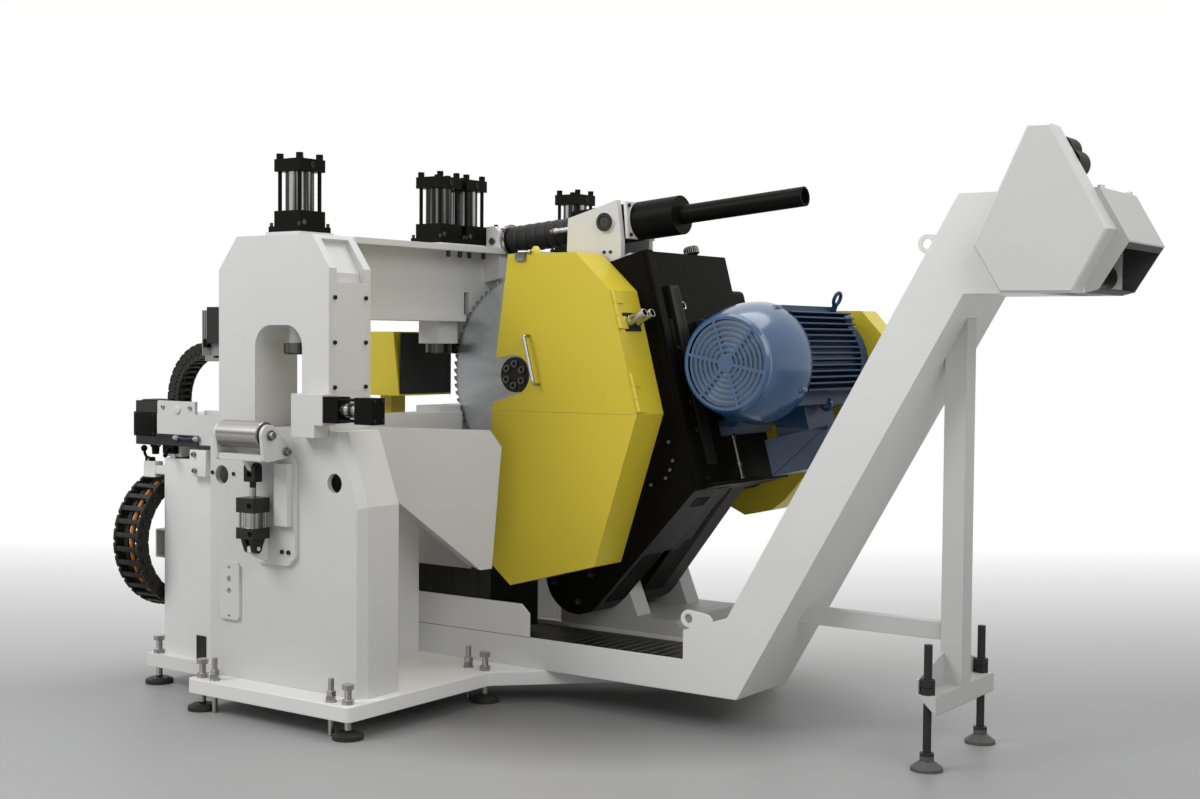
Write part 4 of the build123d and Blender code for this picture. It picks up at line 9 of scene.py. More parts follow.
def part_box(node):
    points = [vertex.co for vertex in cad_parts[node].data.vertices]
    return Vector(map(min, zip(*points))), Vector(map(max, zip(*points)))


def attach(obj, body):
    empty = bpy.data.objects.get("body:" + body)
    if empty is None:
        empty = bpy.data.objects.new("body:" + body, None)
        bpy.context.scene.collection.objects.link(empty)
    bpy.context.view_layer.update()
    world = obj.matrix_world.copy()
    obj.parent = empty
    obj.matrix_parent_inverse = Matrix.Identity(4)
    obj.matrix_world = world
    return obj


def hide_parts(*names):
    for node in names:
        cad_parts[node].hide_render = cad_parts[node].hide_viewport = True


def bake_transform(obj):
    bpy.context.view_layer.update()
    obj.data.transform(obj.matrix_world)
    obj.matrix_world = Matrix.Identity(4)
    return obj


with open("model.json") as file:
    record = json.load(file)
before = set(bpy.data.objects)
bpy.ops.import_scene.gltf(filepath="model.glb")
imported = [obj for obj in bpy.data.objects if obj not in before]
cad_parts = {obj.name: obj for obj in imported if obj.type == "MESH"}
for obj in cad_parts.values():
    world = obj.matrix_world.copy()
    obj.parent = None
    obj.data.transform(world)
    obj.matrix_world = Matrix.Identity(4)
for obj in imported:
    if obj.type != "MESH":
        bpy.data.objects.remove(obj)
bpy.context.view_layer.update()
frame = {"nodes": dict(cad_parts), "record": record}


def corners(node):
    """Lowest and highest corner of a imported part, in millimetres."""
    return [Vector(corner) * 1000 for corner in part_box(node)]


def middle(node):
    low, high = corners(node)
    return (low + high) / 2


TILT = radians(15.2)
PIVOT = (-301.0, 432.0)
BLADE_CENTRE = (-468.0, 1182.0)
HEAD_U = Vector((cos(TILT), 0, sin(TILT)))
HEAD_W = Vector((-sin(TILT), 0, cos(TILT)))
FRONT = Vector((0, -1, 0))
ALONG = Vector((0, 1, 0))
RIGHT = Vector((1, 0, 0))
UP = Vector((0, 0, 1))


def head(u, w, y):
    """A point of the tilted saw head, from its own two directions and the distance along the rail."""
    return Vector((PIVOT[0], y, PIVOT[1])) + HEAD_U * u + HEAD_W * w


# Finishes
class Wire:
    """One socket of a finish. Arithmetic on it adds Math nodes to the same tree."""

    def __init__(self, tree, socket=None):
        self.tree = tree
        self.socket = socket

    def node(self, kind, settings, inputs, out=0):
        made = self.tree.nodes.new("ShaderNode" + kind)
        for key, value in settings.items():
            setattr(made, key, value)
        for key, value in inputs.items():
            if isinstance(value, Wire):
                self.tree.links.new(value.socket, made.inputs[key])
            else:
                made.inputs[key].default_value = value
        return Wire(self.tree, made.outputs[out] if len(made.outputs) else None)

    def maths(self, operation, first, second=0.0, clamp=False):
        return self.node("Math", {"operation": operation, "use_clamp": clamp}, {0: first, 1: second})

    def __add__(self, other):
        return self.maths("ADD", self, other)

    __radd__ = __add__

    def __sub__(self, other):
        return self.maths("SUBTRACT", self, other)

    def __rsub__(self, other):
        return self.maths("SUBTRACT", other, self)

    def __mul__(self, other):
        return self.maths("MULTIPLY", self, other)

    __rmul__ = __mul__

    def __gt__(self, other):
        return self.maths("GREATER_THAN", self, other)

    def __lt__(self, other):
        return self.maths("LESS_THAN", self, other)

    def clamped(self):
        return self.maths("ADD", self, 0.0, True)

    def noise(self, scale, detail=3.0, spread=0.5):
        inputs = {"Vector": self, "Scale": scale, "Detail": detail, "Roughness": spread}
        return self.node("TexNoise", {}, inputs, "Fac")

    def stretched(self, scale, place=(0, 0, 0), turn=(0, 0, 0)):
        return self.node("Mapping", {}, {"Vector": self, "Scale": scale, "Location": place, "Rotation": turn})

    def axis(self, letter):
        return self.node("SeparateXYZ", {}, {0: self}, letter)

    def between(self, low, high):
        inputs = {"Value": self, "From Min": low, "From Max": high}
        return self.node("MapRange", {"clamp": True}, inputs, "Result")

    def inside(self, ranges):
        """Mask of the points between the given limits of each axis, in metres."""
        mask = None
        for letter, (low, high) in ranges.items():
            way = self.axis(letter)
            band = (way > low) * (way < high)
            mask = band if mask is None else mask * band
        return mask

    def bump(self, strength, distance, normal):
        """The given normal, roughened by this height."""
        inputs = {"Strength": strength, "Distance": distance, "Height": self, "Normal": normal}
        return self.node("Bump", {}, inputs)

    def mixed(self, first, second):
        """Blend of two colours by this value."""
        return self.node("Mix", {"data_type": "RGBA"}, {0: self, 6: first, 7: second}, 2)


def tint(colour, share=1.0):
    return tuple(min(1.0, c * share) for c in colour) + (1.0,)


def begin_finish(name):
    material = bpy.data.materials.new(name)
    material.use_nodes = True
    material.node_tree.nodes.clear()
    wire = Wire(material.node_tree)
    return material, wire, wire.node("TexCoord", {}, {}, "Object")


def close_finish(material, wire, colour, rough, normal, metal=0.0, coat=0.0, specular=0.5):
    shader = wire.node("BsdfPrincipled", {}, {
        "Base Color": colour, "Roughness": rough, "Metallic": metal, "Normal": normal,
        "Coat Weight": coat, "Coat Roughness": 0.12, "Specular IOR Level": specular,
    })
    wire.node("OutputMaterial", {}, {"Surface": shader})
    return material


def worn_edges(wire, radius, amount):
    """Rounded normal, and a mask of the corners where it leaves the flat one."""
    soft = wire.node("Bevel", {"samples": 5}, {"Radius": radius}, "Normal")
    flat = wire.node("NewGeometry", {}, {}, "Normal")
    same = wire.node("VectorMath", {"operation": "DOT_PRODUCT"}, {0: soft, 1: flat}, "Value")
    return soft, ((1.0 - same) * amount).clamped()


def paint(name, colour, rough=0.38, bare=None, radius=0.0025, peel=0.05, coat=0.0, dirt=0.05,
          specular=0.5, parts=(), side=None):
    """Sprayed paint: slow drift in shade, fine dust, orange peel, and corners rubbed towards bare metal.
    parts are (limits of each axis, colour) for the stretches that carry another colour, and side is (way,
    colour) for painted light: the faces that look that way take that colour."""
    material, wire, place = begin_finish(name)
    soft, corner = worn_edges(wire, radius, 1.6)
    cloud = place.noise(2.3, 4.0, 0.55)
    dust = place.noise(38.0, 5.0, 0.65)
    shade = cloud.mixed(tint(colour, 1.0 - dirt), tint(colour, 1.0 + dirt * 0.6))
    shade = (dust.between(0.56, 0.80) * dirt * 1.6).mixed(shade, tint(colour, 0.62))
    bare = bare or tuple(min(1.0, c * 1.25 + 0.02) for c in colour)
    worn = (corner * dust.between(0.42, 0.62) * 0.55).clamped()
    shade = worn.mixed(shade, tint(bare))
    for ranges, other in parts:
        shade = place.inside(ranges).mixed(shade, cloud.mixed(tint(other, 0.92), tint(other, 1.06)))
    # Painted light: faces that look along the side's way take its colour.
    if side:
        flat = wire.node("NewGeometry", {}, {}, "Normal")
        toward = wire.node("VectorMath", {"operation": "DOT_PRODUCT"}, {0: flat, 1: side[0]}, "Value")
        shade = toward.between(0.94, 0.97).mixed(shade, cloud.mixed(tint(side[1], 0.9), tint(side[1], 1.1)))
    grain = place.noise(620.0, 2.0, 0.5)
    height = grain + dust * 0.35
    bump = height.bump(peel, 0.0006, soft)
    gloss = rough - 0.07 + cloud * 0.08 + dust * 0.07
    return close_finish(material, wire, shade, gloss, bump, coat=coat, specular=specular)


def steel(name, colour, rough=0.28, radius=0.0012, grain=(40.0, 40.0, 900.0), stain=0.12, parts=(), rim=1.35):
    """Machined metal: fine lines of the tool along one direction, cloudy stains and corners brighter by rim.
    Each flat face takes a painted reflection: a shade set by the way it looks. parts are (limits of each
    axis, colour) for the stretches that are painted or blackened."""
    material, wire, place = begin_finish(name)
    soft, corner = worn_edges(wire, radius, 1.4)
    lines = place.stretched(grain).noise(1.0, 3.0, 0.6)
    cloud = place.noise(14.0, 5.0, 0.6)
    # Painted reflection: each face's shade follows the way it looks, as if it mirrored the room.
    facet_reflection = wire.node("NewGeometry", {}, {}, "Normal").noise(1.7, 1.0, 0.5)
    shade = cloud.mixed(tint(colour, 1.0 - stain), tint(colour, 1.0 + stain))
    shade = (facet_reflection.between(0.42, 0.60) * 0.8).mixed(shade, tint(colour, 0.22))
    shade = (lines.between(0.35, 0.75) * 0.35).mixed(shade, tint(colour, 0.72))
    shade = (corner * 0.5).clamped().mixed(shade, tint(colour, rim))
    metal = 1.0
    gloss = rough - 0.06 + lines * 0.10 + cloud * 0.06
    for ranges, other in parts:
        band = place.inside(ranges)
        shade = band.mixed(shade, cloud.mixed(tint(other, 0.85), tint(other, 1.15)))
        metal = metal * (1.0 - band * 0.92)
        gloss = gloss + band * 0.14
    bump = lines.bump(0.06, 0.0004, soft)
    return close_finish(material, wire, shade, gloss, bump, metal=metal, specular=0.2)


def moulded(name, colour, rough=0.5, radius=0.0012, pores=900.0, specular=0.3):
    """Rubber and plastic: fine pores, dull scuffs and a thin bloom of dust."""
    material, wire, place = begin_finish(name)
    soft, corner = worn_edges(wire, radius, 1.3)
    cloud = place.noise(9.0, 4.0, 0.6)
    pore = place.noise(pores, 2.0, 0.5)
    scuffed = tuple(c * 1.8 + 0.02 for c in colour)
    shade = cloud.mixed(tint(colour, 0.85), tint(colour, 1.2))
    shade = (corner * cloud.between(0.4, 0.65) * 0.35).clamped().mixed(shade, tint(scuffed))
    bump = pore.bump(0.10, 0.0004, soft)
    return close_finish(material, wire, shade, rough - 0.05 + cloud * 0.12, bump, specular=specular)


def honed_tube(name):
    """Dark chromed tube: long light and dark streaks along it, which are a painted reflection, and fine
    honing lines.
    """
    material, wire, place = begin_finish(name)
    soft, corner = worn_edges(wire, 0.001, 1.2)
    # Painted reflection: light and dark streaks stand for the room mirrored in the chrome.
    streak = place.stretched((42.0, 42.0, 0.6), (0.013, 0.004, 0)).noise(1.0, 2.0, 0.5)
    hone = place.stretched((420.0, 420.0, 6.0)).noise(1.0, 2.0, 0.5)
    shade = streak.between(0.48, 0.62).mixed((0.018, 0.018, 0.018, 1), (0.40, 0.40, 0.38, 1))
    shade = (hone.between(0.45, 0.7) * 0.3).mixed(shade, (0.12, 0.12, 0.115, 1))
    shade = (corner * 0.4).clamped().mixed(shade, (0.5, 0.5, 0.49, 1))
    bump = hone.bump(0.05, 0.0003, soft)
    return close_finish(material, wire, shade, 0.16 + hone * 0.10, bump, metal=0.92)


def ground_blade(name):
    """Ground saw blade: fine rings about the spindle, long cloudy glints along the radius and dark teeth."""
    material, wire, place = begin_finish(name)
    soft, corner = worn_edges(wire, 0.0008, 1.2)
    centre = place.stretched((1, 1, 1), (-BLADE_CENTRE[0] / 1000, 0, -BLADE_CENTRE[1] / 1000))
    across = centre.axis("X")
    upward = centre.axis("Z")
    reach = wire.maths("POWER", across * across + upward * upward, 0.5)
    turn = wire.maths("ARCTAN2", upward, across)
    rings = wire.node("CombineXYZ", {}, {"X": reach * 900.0, "Y": turn * 2.0, "Z": 0.0})
    rays = wire.node("CombineXYZ", {}, {"X": turn * 5.0, "Y": reach * 1.5, "Z": 3.0})
    ring = rings.noise(1.0, 2.0, 0.5)
    glint = rays.noise(1.0, 3.0, 0.6)
    shade = glint.between(0.3, 0.7).mixed((0.46, 0.475, 0.49, 1), (0.64, 0.665, 0.68, 1))
    shade = (ring.between(0.4, 0.7) * 0.35).mixed(shade, (0.34, 0.35, 0.37, 1))
    tooth_root, tooth_tip = 0.372, 0.381
    rim = reach.between(tooth_root, tooth_tip)
    shade = (rim * 0.60).mixed(shade, (0.055, 0.055, 0.058, 1))
    shade = (corner * 0.3).clamped().mixed(shade, (0.6, 0.6, 0.6, 1))
    bump = ring.bump(0.12, 0.0003, soft)
    return close_finish(material, wire, shade, 0.26 + ring * 0.10 + rim * 0.14, bump, metal=0.9)


def shaded_hood(name, colour, inner_shade):
    """White hood, painted darker than the machine's white and painted black inside as painted shade. Its
    outer slope, top and sides bound that painted shade.
    """
    low, high = [corner / 1000 for corner in corners("discharge_hood")]
    material, wire, place = begin_finish(name)
    soft, corner = worn_edges(wire, 0.0025, 1.6)
    cloud = place.noise(2.3, 4.0, 0.55)
    dust = place.noise(38.0, 5.0, 0.65)
    wall, lean_x, lean_z, drop = 0.004, 0.870, 0.493, 0.157
    outer_slope = (place.axis("X") - high.x) * lean_x + (place.axis("Z") - high.z + drop) * lean_z
    inside_shade_mask = place.inside({"Y": (low.y + wall, high.y - wall), "Z": (0.0, high.z - wall)})
    inside_shade_mask = inside_shade_mask * (outer_slope < -wall)
    shade = cloud.mixed(tint(colour, 0.955), tint(colour, 1.03))
    shade = (corner * dust.between(0.42, 0.62) * 0.5).clamped().mixed(shade, tint(colour, 1.25))
    # Painted shade: the inside of the hood is painted dark.
    shade = inside_shade_mask.mixed(shade, dust.mixed(tint(inner_shade, 0.7), tint(inner_shade, 1.5)))
    bump = dust.bump(0.05, 0.0006, soft)
    return close_finish(material, wire, shade, 0.36 + inside_shade_mask * 0.2 + dust * 0.05, bump, specular=0.3)


# One white machine paint in lighter and darker copies: painted light on the base, the side stand and the
# conveyor casing, painted shade on the conveyor stand and the hood.
WHITE = (0.66, 0.66, 0.645)
LIT_WHITE = (0.80, 0.80, 0.785)
SHADED_WHITE = (0.60, 0.60, 0.59)
LIT_BASE_WHITE = (0.86, 0.86, 0.84)
SHADED_HOOD_WHITE = (0.52, 0.52, 0.515)
BLACK = (0.0060, 0.0059, 0.0055)
OLIVE = (0.0046, 0.0046, 0.0036)
# Painted light: the grey that the head's undersides take in place of their black.
UNDERSIDE_LIGHT = (0.050, 0.049, 0.050)
YELLOW = (0.69, 0.55, 0.042)
BLUE = (0.026, 0.082, 0.185)
# Painted shade: the motor body and frame take a darker copy of the motor's blue.
SHADED_BLUE = (0.017, 0.048, 0.108)
CRADLE_BLUE = (0.085, 0.112, 0.165)
FAN_BLUE = (0.13, 0.16, 0.21)
GREY = (0.55, 0.55, 0.54)
GRIPPER_GREY = (0.27, 0.27, 0.265)
RUBBED = (0.075, 0.075, 0.073)
CAP_BLACK = (0.022, 0.022, 0.020)

# Stretches of a part that carry another colour, in metres
FAR, BELOW_FLOOR = 2.0, -0.1
LEG_X, LEG_PAD_TOP, BASE_PAD_TOP = 0.9, 0.045, 0.03
HEAD_CAP, END_CAP = 0.050, 0.089
lift_low, lift_high = corners("lift_cylinder")
seam_line = {"Z": (0.2252, 0.2272), "X": (-0.932, -0.368), "Y": (-0.156, -0.150)}
# Painted shade: the casing's discharge under the hood is painted black.
outfall_shade = {"X": (1.60, 1.80), "Y": (-0.135, 0.175), "Z": (1.40, 1.70)}
leg_screws = {"X": (LEG_X, FAR), "Z": (LEG_PAD_TOP, FAR)}
leg_pads = {"X": (LEG_X, FAR), "Z": (BELOW_FLOOR, LEG_PAD_TOP)}
base_pads = {"X": (-FAR, LEG_X), "Z": (BELOW_FLOOR, BASE_PAD_TOP)}
lower_cap = {"Z": (0.0, lift_low.z / 1000 + END_CAP)}
upper_cap = {"Z": (lift_high.z / 1000 - HEAD_CAP, FAR)}
rod_clevis = {"Z": (0.800, FAR)}
fan_end = {"Y": (-1.0, 0.235)}
motor_cradle = {"Z": (0.0, 1.0)}
servo_end = {"X": (-1.80, -1.641)}
actuator_front = {"Y": (-0.84, -0.7975)}

# Paints, metals and mouldings. The undersides of the head's arms look along UNDERSIDE and are painted paler:
# painted light
UNDERSIDE = (0.751, 0.0, -0.660)
machine_coat = {"rough": 0.36, "dirt": 0.045, "radius": 0.003, "specular": 0.4}
shaded_enamel = {"rough": 0.34, "bare": (0.05, 0.09, 0.15), "radius": 0.002, "dirt": 0.10, "specular": 0.16}
white_paint = paint("white machine paint", WHITE, **machine_coat)
# Painted light: the side stand and its fittings take a paler copy of the white.
lit_white_paint = paint("white machine paint painted paler as lit", LIT_WHITE, **machine_coat)
# Painted shade: the conveyor stand takes a darker copy of the white.
shaded_white_paint = paint("white machine paint painted darker as shaded", SHADED_WHITE, 0.40, dirt=0.05, radius=0.003, specular=0.35)
# Painted light: the base plate takes a lighter copy of the white.
lit_base_paint = paint("white base paint painted lighter as lit", LIT_BASE_WHITE, 0.30, dirt=0.06, radius=0.003, specular=0.4)
# Painted light: the conveyor casing takes the paler copy of the white, with painted shade at its discharge.
casing_paint = paint("white conveyor paint with a seam", LIT_WHITE, **machine_coat,
                     parts=[(seam_line, (0.05, 0.05, 0.05)), (outfall_shade, (0.03, 0.03, 0.03))])
black_paint = paint("black machine paint", BLACK, 0.40, bare=RUBBED, radius=0.002, dirt=0.12, specular=0.05)
# Painted light: the head's undersides are painted paler than its black.
olive_paint = paint("olive black head paint, painted lighter on its undersides", OLIVE, 0.36, bare=(0.04, 0.04, 0.036), radius=0.002, dirt=0.14,
                    specular=0.035, side=(UNDERSIDE, UNDERSIDE_LIGHT))
yellow_paint = paint("yellow guard paint", YELLOW, 0.34, radius=0.002, dirt=0.05, specular=0.4)
blue_paint = paint("blue motor enamel", BLUE, 0.27, bare=(0.06, 0.11, 0.19), radius=0.002, coat=0.8,
                   dirt=0.08, specular=0.35)
# Painted shade: darker copy of the motor's blue for the body and frame.
shaded_blue_paint = paint("blue motor enamel painted darker as shaded", SHADED_BLUE, **shaded_enamel)
frame_finish = paint("blue motor enamel painted darker as shaded, paler cradle", SHADED_BLUE, **shaded_enamel,
                     parts=[(motor_cradle, CRADLE_BLUE)])
grey_paint = paint("grey casting paint", GREY, 0.42, radius=0.004, peel=0.09, specular=0.35)
carriage_finish = paint("carriage in white with black servo", WHITE, 0.36, dirt=0.045, specular=0.35,
                        parts=[(servo_end, BLACK)])
gripper_finish = paint("gripper in grey with black actuator", GRIPPER_GREY, 0.40, specular=0.3,
                       parts=[(actuator_front, BLACK)])
# Painted shade: the hood takes a darker copy of the white and is painted dark inside.
hood_finish = shaded_hood("white hood painted darker, with painted shade inside", SHADED_HOOD_WHITE, (0.045, 0.045, 0.045))
bright_steel = steel("turned bright steel", (0.52, 0.51, 0.49), 0.26)
roller_steel = steel("satin roller steel", (0.46, 0.455, 0.435), 0.34, grain=(9.0, 700.0, 700.0), stain=0.04)
chrome = honed_tube("honed dark chrome tube with painted reflections")
plated = steel("bright plated steel", (0.60, 0.60, 0.59), 0.16, grain=(200.0, 200.0, 200.0), stain=0.05)
worn_steel = steel("worn screw steel", (0.22, 0.215, 0.21), 0.34, stain=0.2)
bolt_steel = steel("grey bolt steel", (0.40, 0.395, 0.38), 0.32, stain=0.15)
rod_steel = steel("dark polished rods", (0.10, 0.10, 0.098), 0.22, grain=(300.0, 300.0, 8.0))
# The slats' corners are painted much lighter.
slat_steel = steel("conveyor slats with lighter edges", (0.030, 0.030, 0.029), 0.42, radius=0.005, rim=28.0)
# The spindle's corners and screw rims are painted lighter.
spindle_steel = steel("blackened spindle with lighter screw rims", (0.055, 0.055, 0.054), 0.40, stain=0.2,
                      rim=9.0)
dark_steel = steel("blackened steel", (0.060, 0.059, 0.058), 0.40, stain=0.2)
blade_steel = ground_blade("ground blade steel")
lift_finish = steel("chrome barrel between black caps", (0.42, 0.42, 0.41), 0.20, grain=(300.0, 300.0, 8.0),
                    parts=[(lower_cap, CAP_BLACK), (upper_cap, CAP_BLACK)])
feet_finish = steel("plated levelling screws", (0.56, 0.55, 0.53), 0.34,
                    parts=[(leg_screws, (0.030, 0.030, 0.031)), (leg_pads, (0.11, 0.11, 0.108)),
                           (base_pads, (0.030, 0.030, 0.029))])
lift_rod_finish = steel("chrome rod with a black clevis", (0.45, 0.45, 0.44), 0.2,
                        parts=[(rod_clevis, (0.012, 0.012, 0.012))])
fan_finish = steel("motor shaft with a painted fan", (0.45, 0.44, 0.43), parts=[(fan_end, FAN_BLUE)])
# Painted shade: near black for port mouths and openings.
shade_black = moulded("painted shade of port mouths and openings", (0.003, 0.003, 0.003), 0.6, specular=0.1)
rubber = moulded("black rubber", (0.012, 0.012, 0.012), 0.52)
black_plastic = moulded("black chain plastic", (0.014, 0.0135, 0.013), 0.46, specular=0.25)
orange_sheath = moulded("orange cable sheath", (0.48, 0.17, 0.022), 0.42)
blue_tube = moulded("dark blue air tube", (0.020, 0.024, 0.095), 0.35)
finishes = {
    "white_paint": white_paint, "black_paint": black_paint, "yellow_paint": yellow_paint,
    "blue_paint": shaded_blue_paint, "grey_paint": grey_paint, "bright_steel": bright_steel, "chrome": chrome,
    "dark_steel": dark_steel, "blade_steel": blade_steel, "rubber": rubber, "black_plastic": black_plastic,
    "orange_sheath": orange_sheath,
}
own_finishes = {
    "base_plate": lit_base_paint, "conveyor_casing": casing_paint, "discharge_hood": hood_finish,
    "side_carriage": carriage_finish, "gripper_slide": gripper_finish, "levelling_feet": feet_finish,
    "lift_cylinder": lift_finish, "lift_roller": roller_steel, "head_housing": olive_paint,
    "motor_cowl": blue_paint, "motor_frame": frame_finish, "motor_rotor": fan_finish, "door_handle": plated,
    "clamp_rod_1": rod_steel, "clamp_rod_2": rod_steel, "clamp_rod_3": rod_steel, "clamp_rod_4": rod_steel,
    "lift_rod": lift_rod_finish, "conveyor_belt": slat_steel, "side_stand": lit_white_paint,
    "conveyor_stand": shaded_white_paint, "spindle": spindle_steel,
}


# Modelling tools, all in millimetres
def begin():
    """Object mode with nothing selected."""
    if bpy.context.mode != "OBJECT":
        bpy.ops.object.mode_set(mode="OBJECT")
    bpy.ops.object.select_all(action="DESELECT")


def chosen(piece):
    begin()
    bpy.context.view_layer.objects.active = piece
    piece.select_set(True)


def named(name):
    piece = bpy.context.object
    piece.name = name
    piece.data.name = name
    bpy.ops.object.transform_apply(location=True, rotation=True, scale=True)
    return piece


def block(name, low, high):
    begin()
    low, high = Vector(low) / 1000, Vector(high) / 1000
    bpy.ops.mesh.primitive_cube_add(size=1, location=(low + high) / 2, scale=high - low)
    return named(name)


def drum(name, centre, axis, radius, length, sides=40):
    """Cylinder that starts at centre and runs along axis."""
    begin()
    axis = Vector(axis).normalized()
    turn = UP.rotation_difference(axis).to_euler()
    halfway = (Vector(centre) + axis * length / 2) / 1000
    bpy.ops.mesh.primitive_cylinder_add(
        vertices=sides, radius=radius / 1000, depth=length / 1000, location=halfway, rotation=turn)
    return named(name)


def edit(piece):
    chosen(piece)
    bpy.ops.object.mode_set(mode="EDIT")


def faces(test):
    """Selects the faces whose centre and normal pass the test."""
    bpy.ops.mesh.select_mode(type="FACE")
    bpy.ops.mesh.select_all(action="DESELECT")
    shape = bmesh.from_edit_mesh(bpy.context.object.data)
    for face in shape.faces:
        face.select_set(bool(test(face.calc_center_median() * 1000, face.normal)))
    bmesh.update_edit_mesh(bpy.context.object.data)


def facing(way, least=0.9):
    faces(lambda centre, normal: normal.dot(Vector(way)) > least)


def push(*step):
    bpy.ops.mesh.extrude_region_move(TRANSFORM_OT_translate={"value": Vector(step) / 1000})


def inset(width, depth=0.0):
    bpy.ops.mesh.inset(thickness=width / 1000, depth=depth / 1000)


def rounded(piece, width, segments=2, angle=35.0):
    chosen(piece)
    bevel = piece.modifiers.new("rounded", "BEVEL")
    bevel.width = width / 1000
    bevel.segments = segments
    bevel.limit_method = "ANGLE"
    bevel.angle_limit = radians(angle)
    bpy.ops.object.modifier_apply(modifier=bevel.name)
    return piece


def pressed(name, low, high, way, rim, depth, edge=1.5):
    """Block with a pocket, or a raised field, on the side that looks along way, and softened edges."""
    piece = block(name, low, high)
    edit(piece)
    facing(way)
    inset(rim, depth)
    begin()
    return rounded(piece, edge)


def lathe(name, profile, origin=(0, 0, 0), axis=UP, steps=40):
    """Turned piece: (distance along the axis, radius) points spun about the axis."""
    begin()
    axis = Vector(axis).normalized()
    side = axis.orthogonal().normalized()
    points = [(Vector(origin) + axis * along + side * radius) / 1000 for along, radius in profile]
    bpy.ops.mesh.primitive_plane_add(size=0.001, location=points[0])
    piece = named(name)
    bpy.ops.object.mode_set(mode="EDIT")
    bpy.ops.mesh.select_mode(type="VERT")
    bpy.ops.mesh.select_all(action="SELECT")
    bpy.ops.mesh.merge(type="CENTER")
    for here, there in zip(points, points[1:]):
        bpy.ops.mesh.extrude_region_move(TRANSFORM_OT_translate={"value": there - here})
    bpy.ops.mesh.select_all(action="SELECT")
    bpy.ops.mesh.spin(steps=steps, angle=2 * pi, center=Vector(origin) / 1000, axis=axis)
    bpy.ops.mesh.select_all(action="SELECT")
    bpy.ops.mesh.remove_doubles(threshold=0.00002)
    bpy.ops.mesh.normals_make_consistent(inside=False)
    bpy.ops.object.mode_set(mode="OBJECT")
    return piece


def ring(name, centre, axis, radius, wire, steps=28, sides=10):
    """Round bar bent to a ring."""
    turns = [2 * pi * n / sides for n in range(sides + 1)]
    return lathe(name, [(wire * sin(t), radius + wire * cos(t)) for t in turns], centre, axis, steps)


def cable(name, points, radius):
    """Smooth round cable along a few route points."""
    begin()
    curve = bpy.data.curves.new(name, "CURVE")
    curve.dimensions = "3D"
    curve.bevel_depth = radius / 1000
    curve.bevel_resolution = 3
    curve.resolution_u = 6
    curve.use_fill_caps = True
    spline = curve.splines.new("NURBS")
    spline.points.add(len(points) - 1)
    for spot, point in zip(spline.points, points):
        spot.co = (*(Vector(point) / 1000), 1.0)
    spline.order_u = 3
    spline.use_endpoint_u = True
    piece = bpy.data.objects.new(name, curve)
    bpy.context.collection.objects.link(piece)
    chosen(piece)
    bpy.ops.object.convert(target="MESH")
    return bpy.context.object


def joined(name, pieces):
    begin()
    for piece in pieces:
        piece.select_set(True)
    bpy.context.view_layer.objects.active = pieces[0]
    if len(pieces) > 1:
        bpy.ops.object.join()
    pieces[0].name = name
    return pieces[0]


def repeated(name, piece, places):
    """Copies of a piece that was modelled at the origin, one at each matrix, joined into one object."""
    made = []
    for place in places:
        copy = piece.copy()
        copy.data = piece.data.copy()
        copy.data.transform(place)
        bpy.context.collection.objects.link(copy)
        made.append(copy)
    bpy.data.objects.remove(piece)
    return joined(name, made)


def stood(point, axis=UP, spin=0.0):
    """Matrix that stands a piece modelled along Z at a point, looking along axis."""
    turn = UP.rotation_difference(Vector(axis).normalized()).to_matrix().to_4x4()
    return Matrix.Translation(Vector(point) / 1000) @ turn @ Matrix.Rotation(spin, 4, "Z")


def own_frame(origin, first, third):
    """Matrix from a piece's own directions, the second one along the rail, to its place."""
    return Matrix.Translation(origin / 1000) @ Matrix((first, ALONG, third)).transposed().to_4x4()


def moved(piece, place):
    piece.data.transform(place)
    return piece


HEAD_FRAME = own_frame(head(0.0, 0.0, 0.0), HEAD_U, HEAD_W)


def done(piece, body, finish, smooth=32.0):
    """Smoothed, painted and carried by its body, where one body alone carries it."""
    chosen(piece)
    bpy.ops.object.shade_smooth_by_angle(angle=radians(smooth))
    piece.data.materials.clear()
    piece.data.materials.append(finish)
    if body:
        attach(piece, body)
    return piece


# Fasteners, modelled once at the origin and looking up
def cap_screw(radius, high):
    """Socket head with its chamfer and the hole for the key."""
    socket = radius * 0.55
    profile = [(0, 0), (0, radius), (high * 0.84, radius), (high, radius * 0.86)]
    profile += [(high, socket), (high * 0.45, socket * 0.92), (high * 0.45, 0)]
    return lathe("cap screw", profile, steps=18)


def hex_bolt(radius, high):
    """Hexagon head with its crown, on a turned washer."""
    under = high * 0.2
    bolt = drum("hexagon", (0, 0, under), UP, radius, high - under, 6)
    edit(bolt)
    facing(UP)
    inset(radius * 0.14, high * 0.08)
    begin()
    rounded(bolt, radius * 0.05, 1)
    rim = radius * 1.3
    washer_line = [(0, 0), (0, rim), (under * 0.8, rim), (under, rim * 0.95), (under, 0)]
    return joined("hex bolt", [bolt, lathe("washer", washer_line, steps=24)])


def port(radius, high):
    """Screwed port: a raised rim round a sunk mouth."""
    mouth = radius * 0.7
    profile = [(0, 0), (0, radius), (high * 0.8, radius), (high, radius * 0.92)]
    profile += [(high, mouth), (high * 0.15, mouth * 0.9), (high * 0.15, 0)]
    return lathe("port", profile, steps=22)


def fitted(name, piece, points, way, body, finish=dark_steel):
    """One set of like fasteners on a body, all looking the same way."""
    return done(repeated(name, piece, [stood(point, way) for point in points]), body, finish)


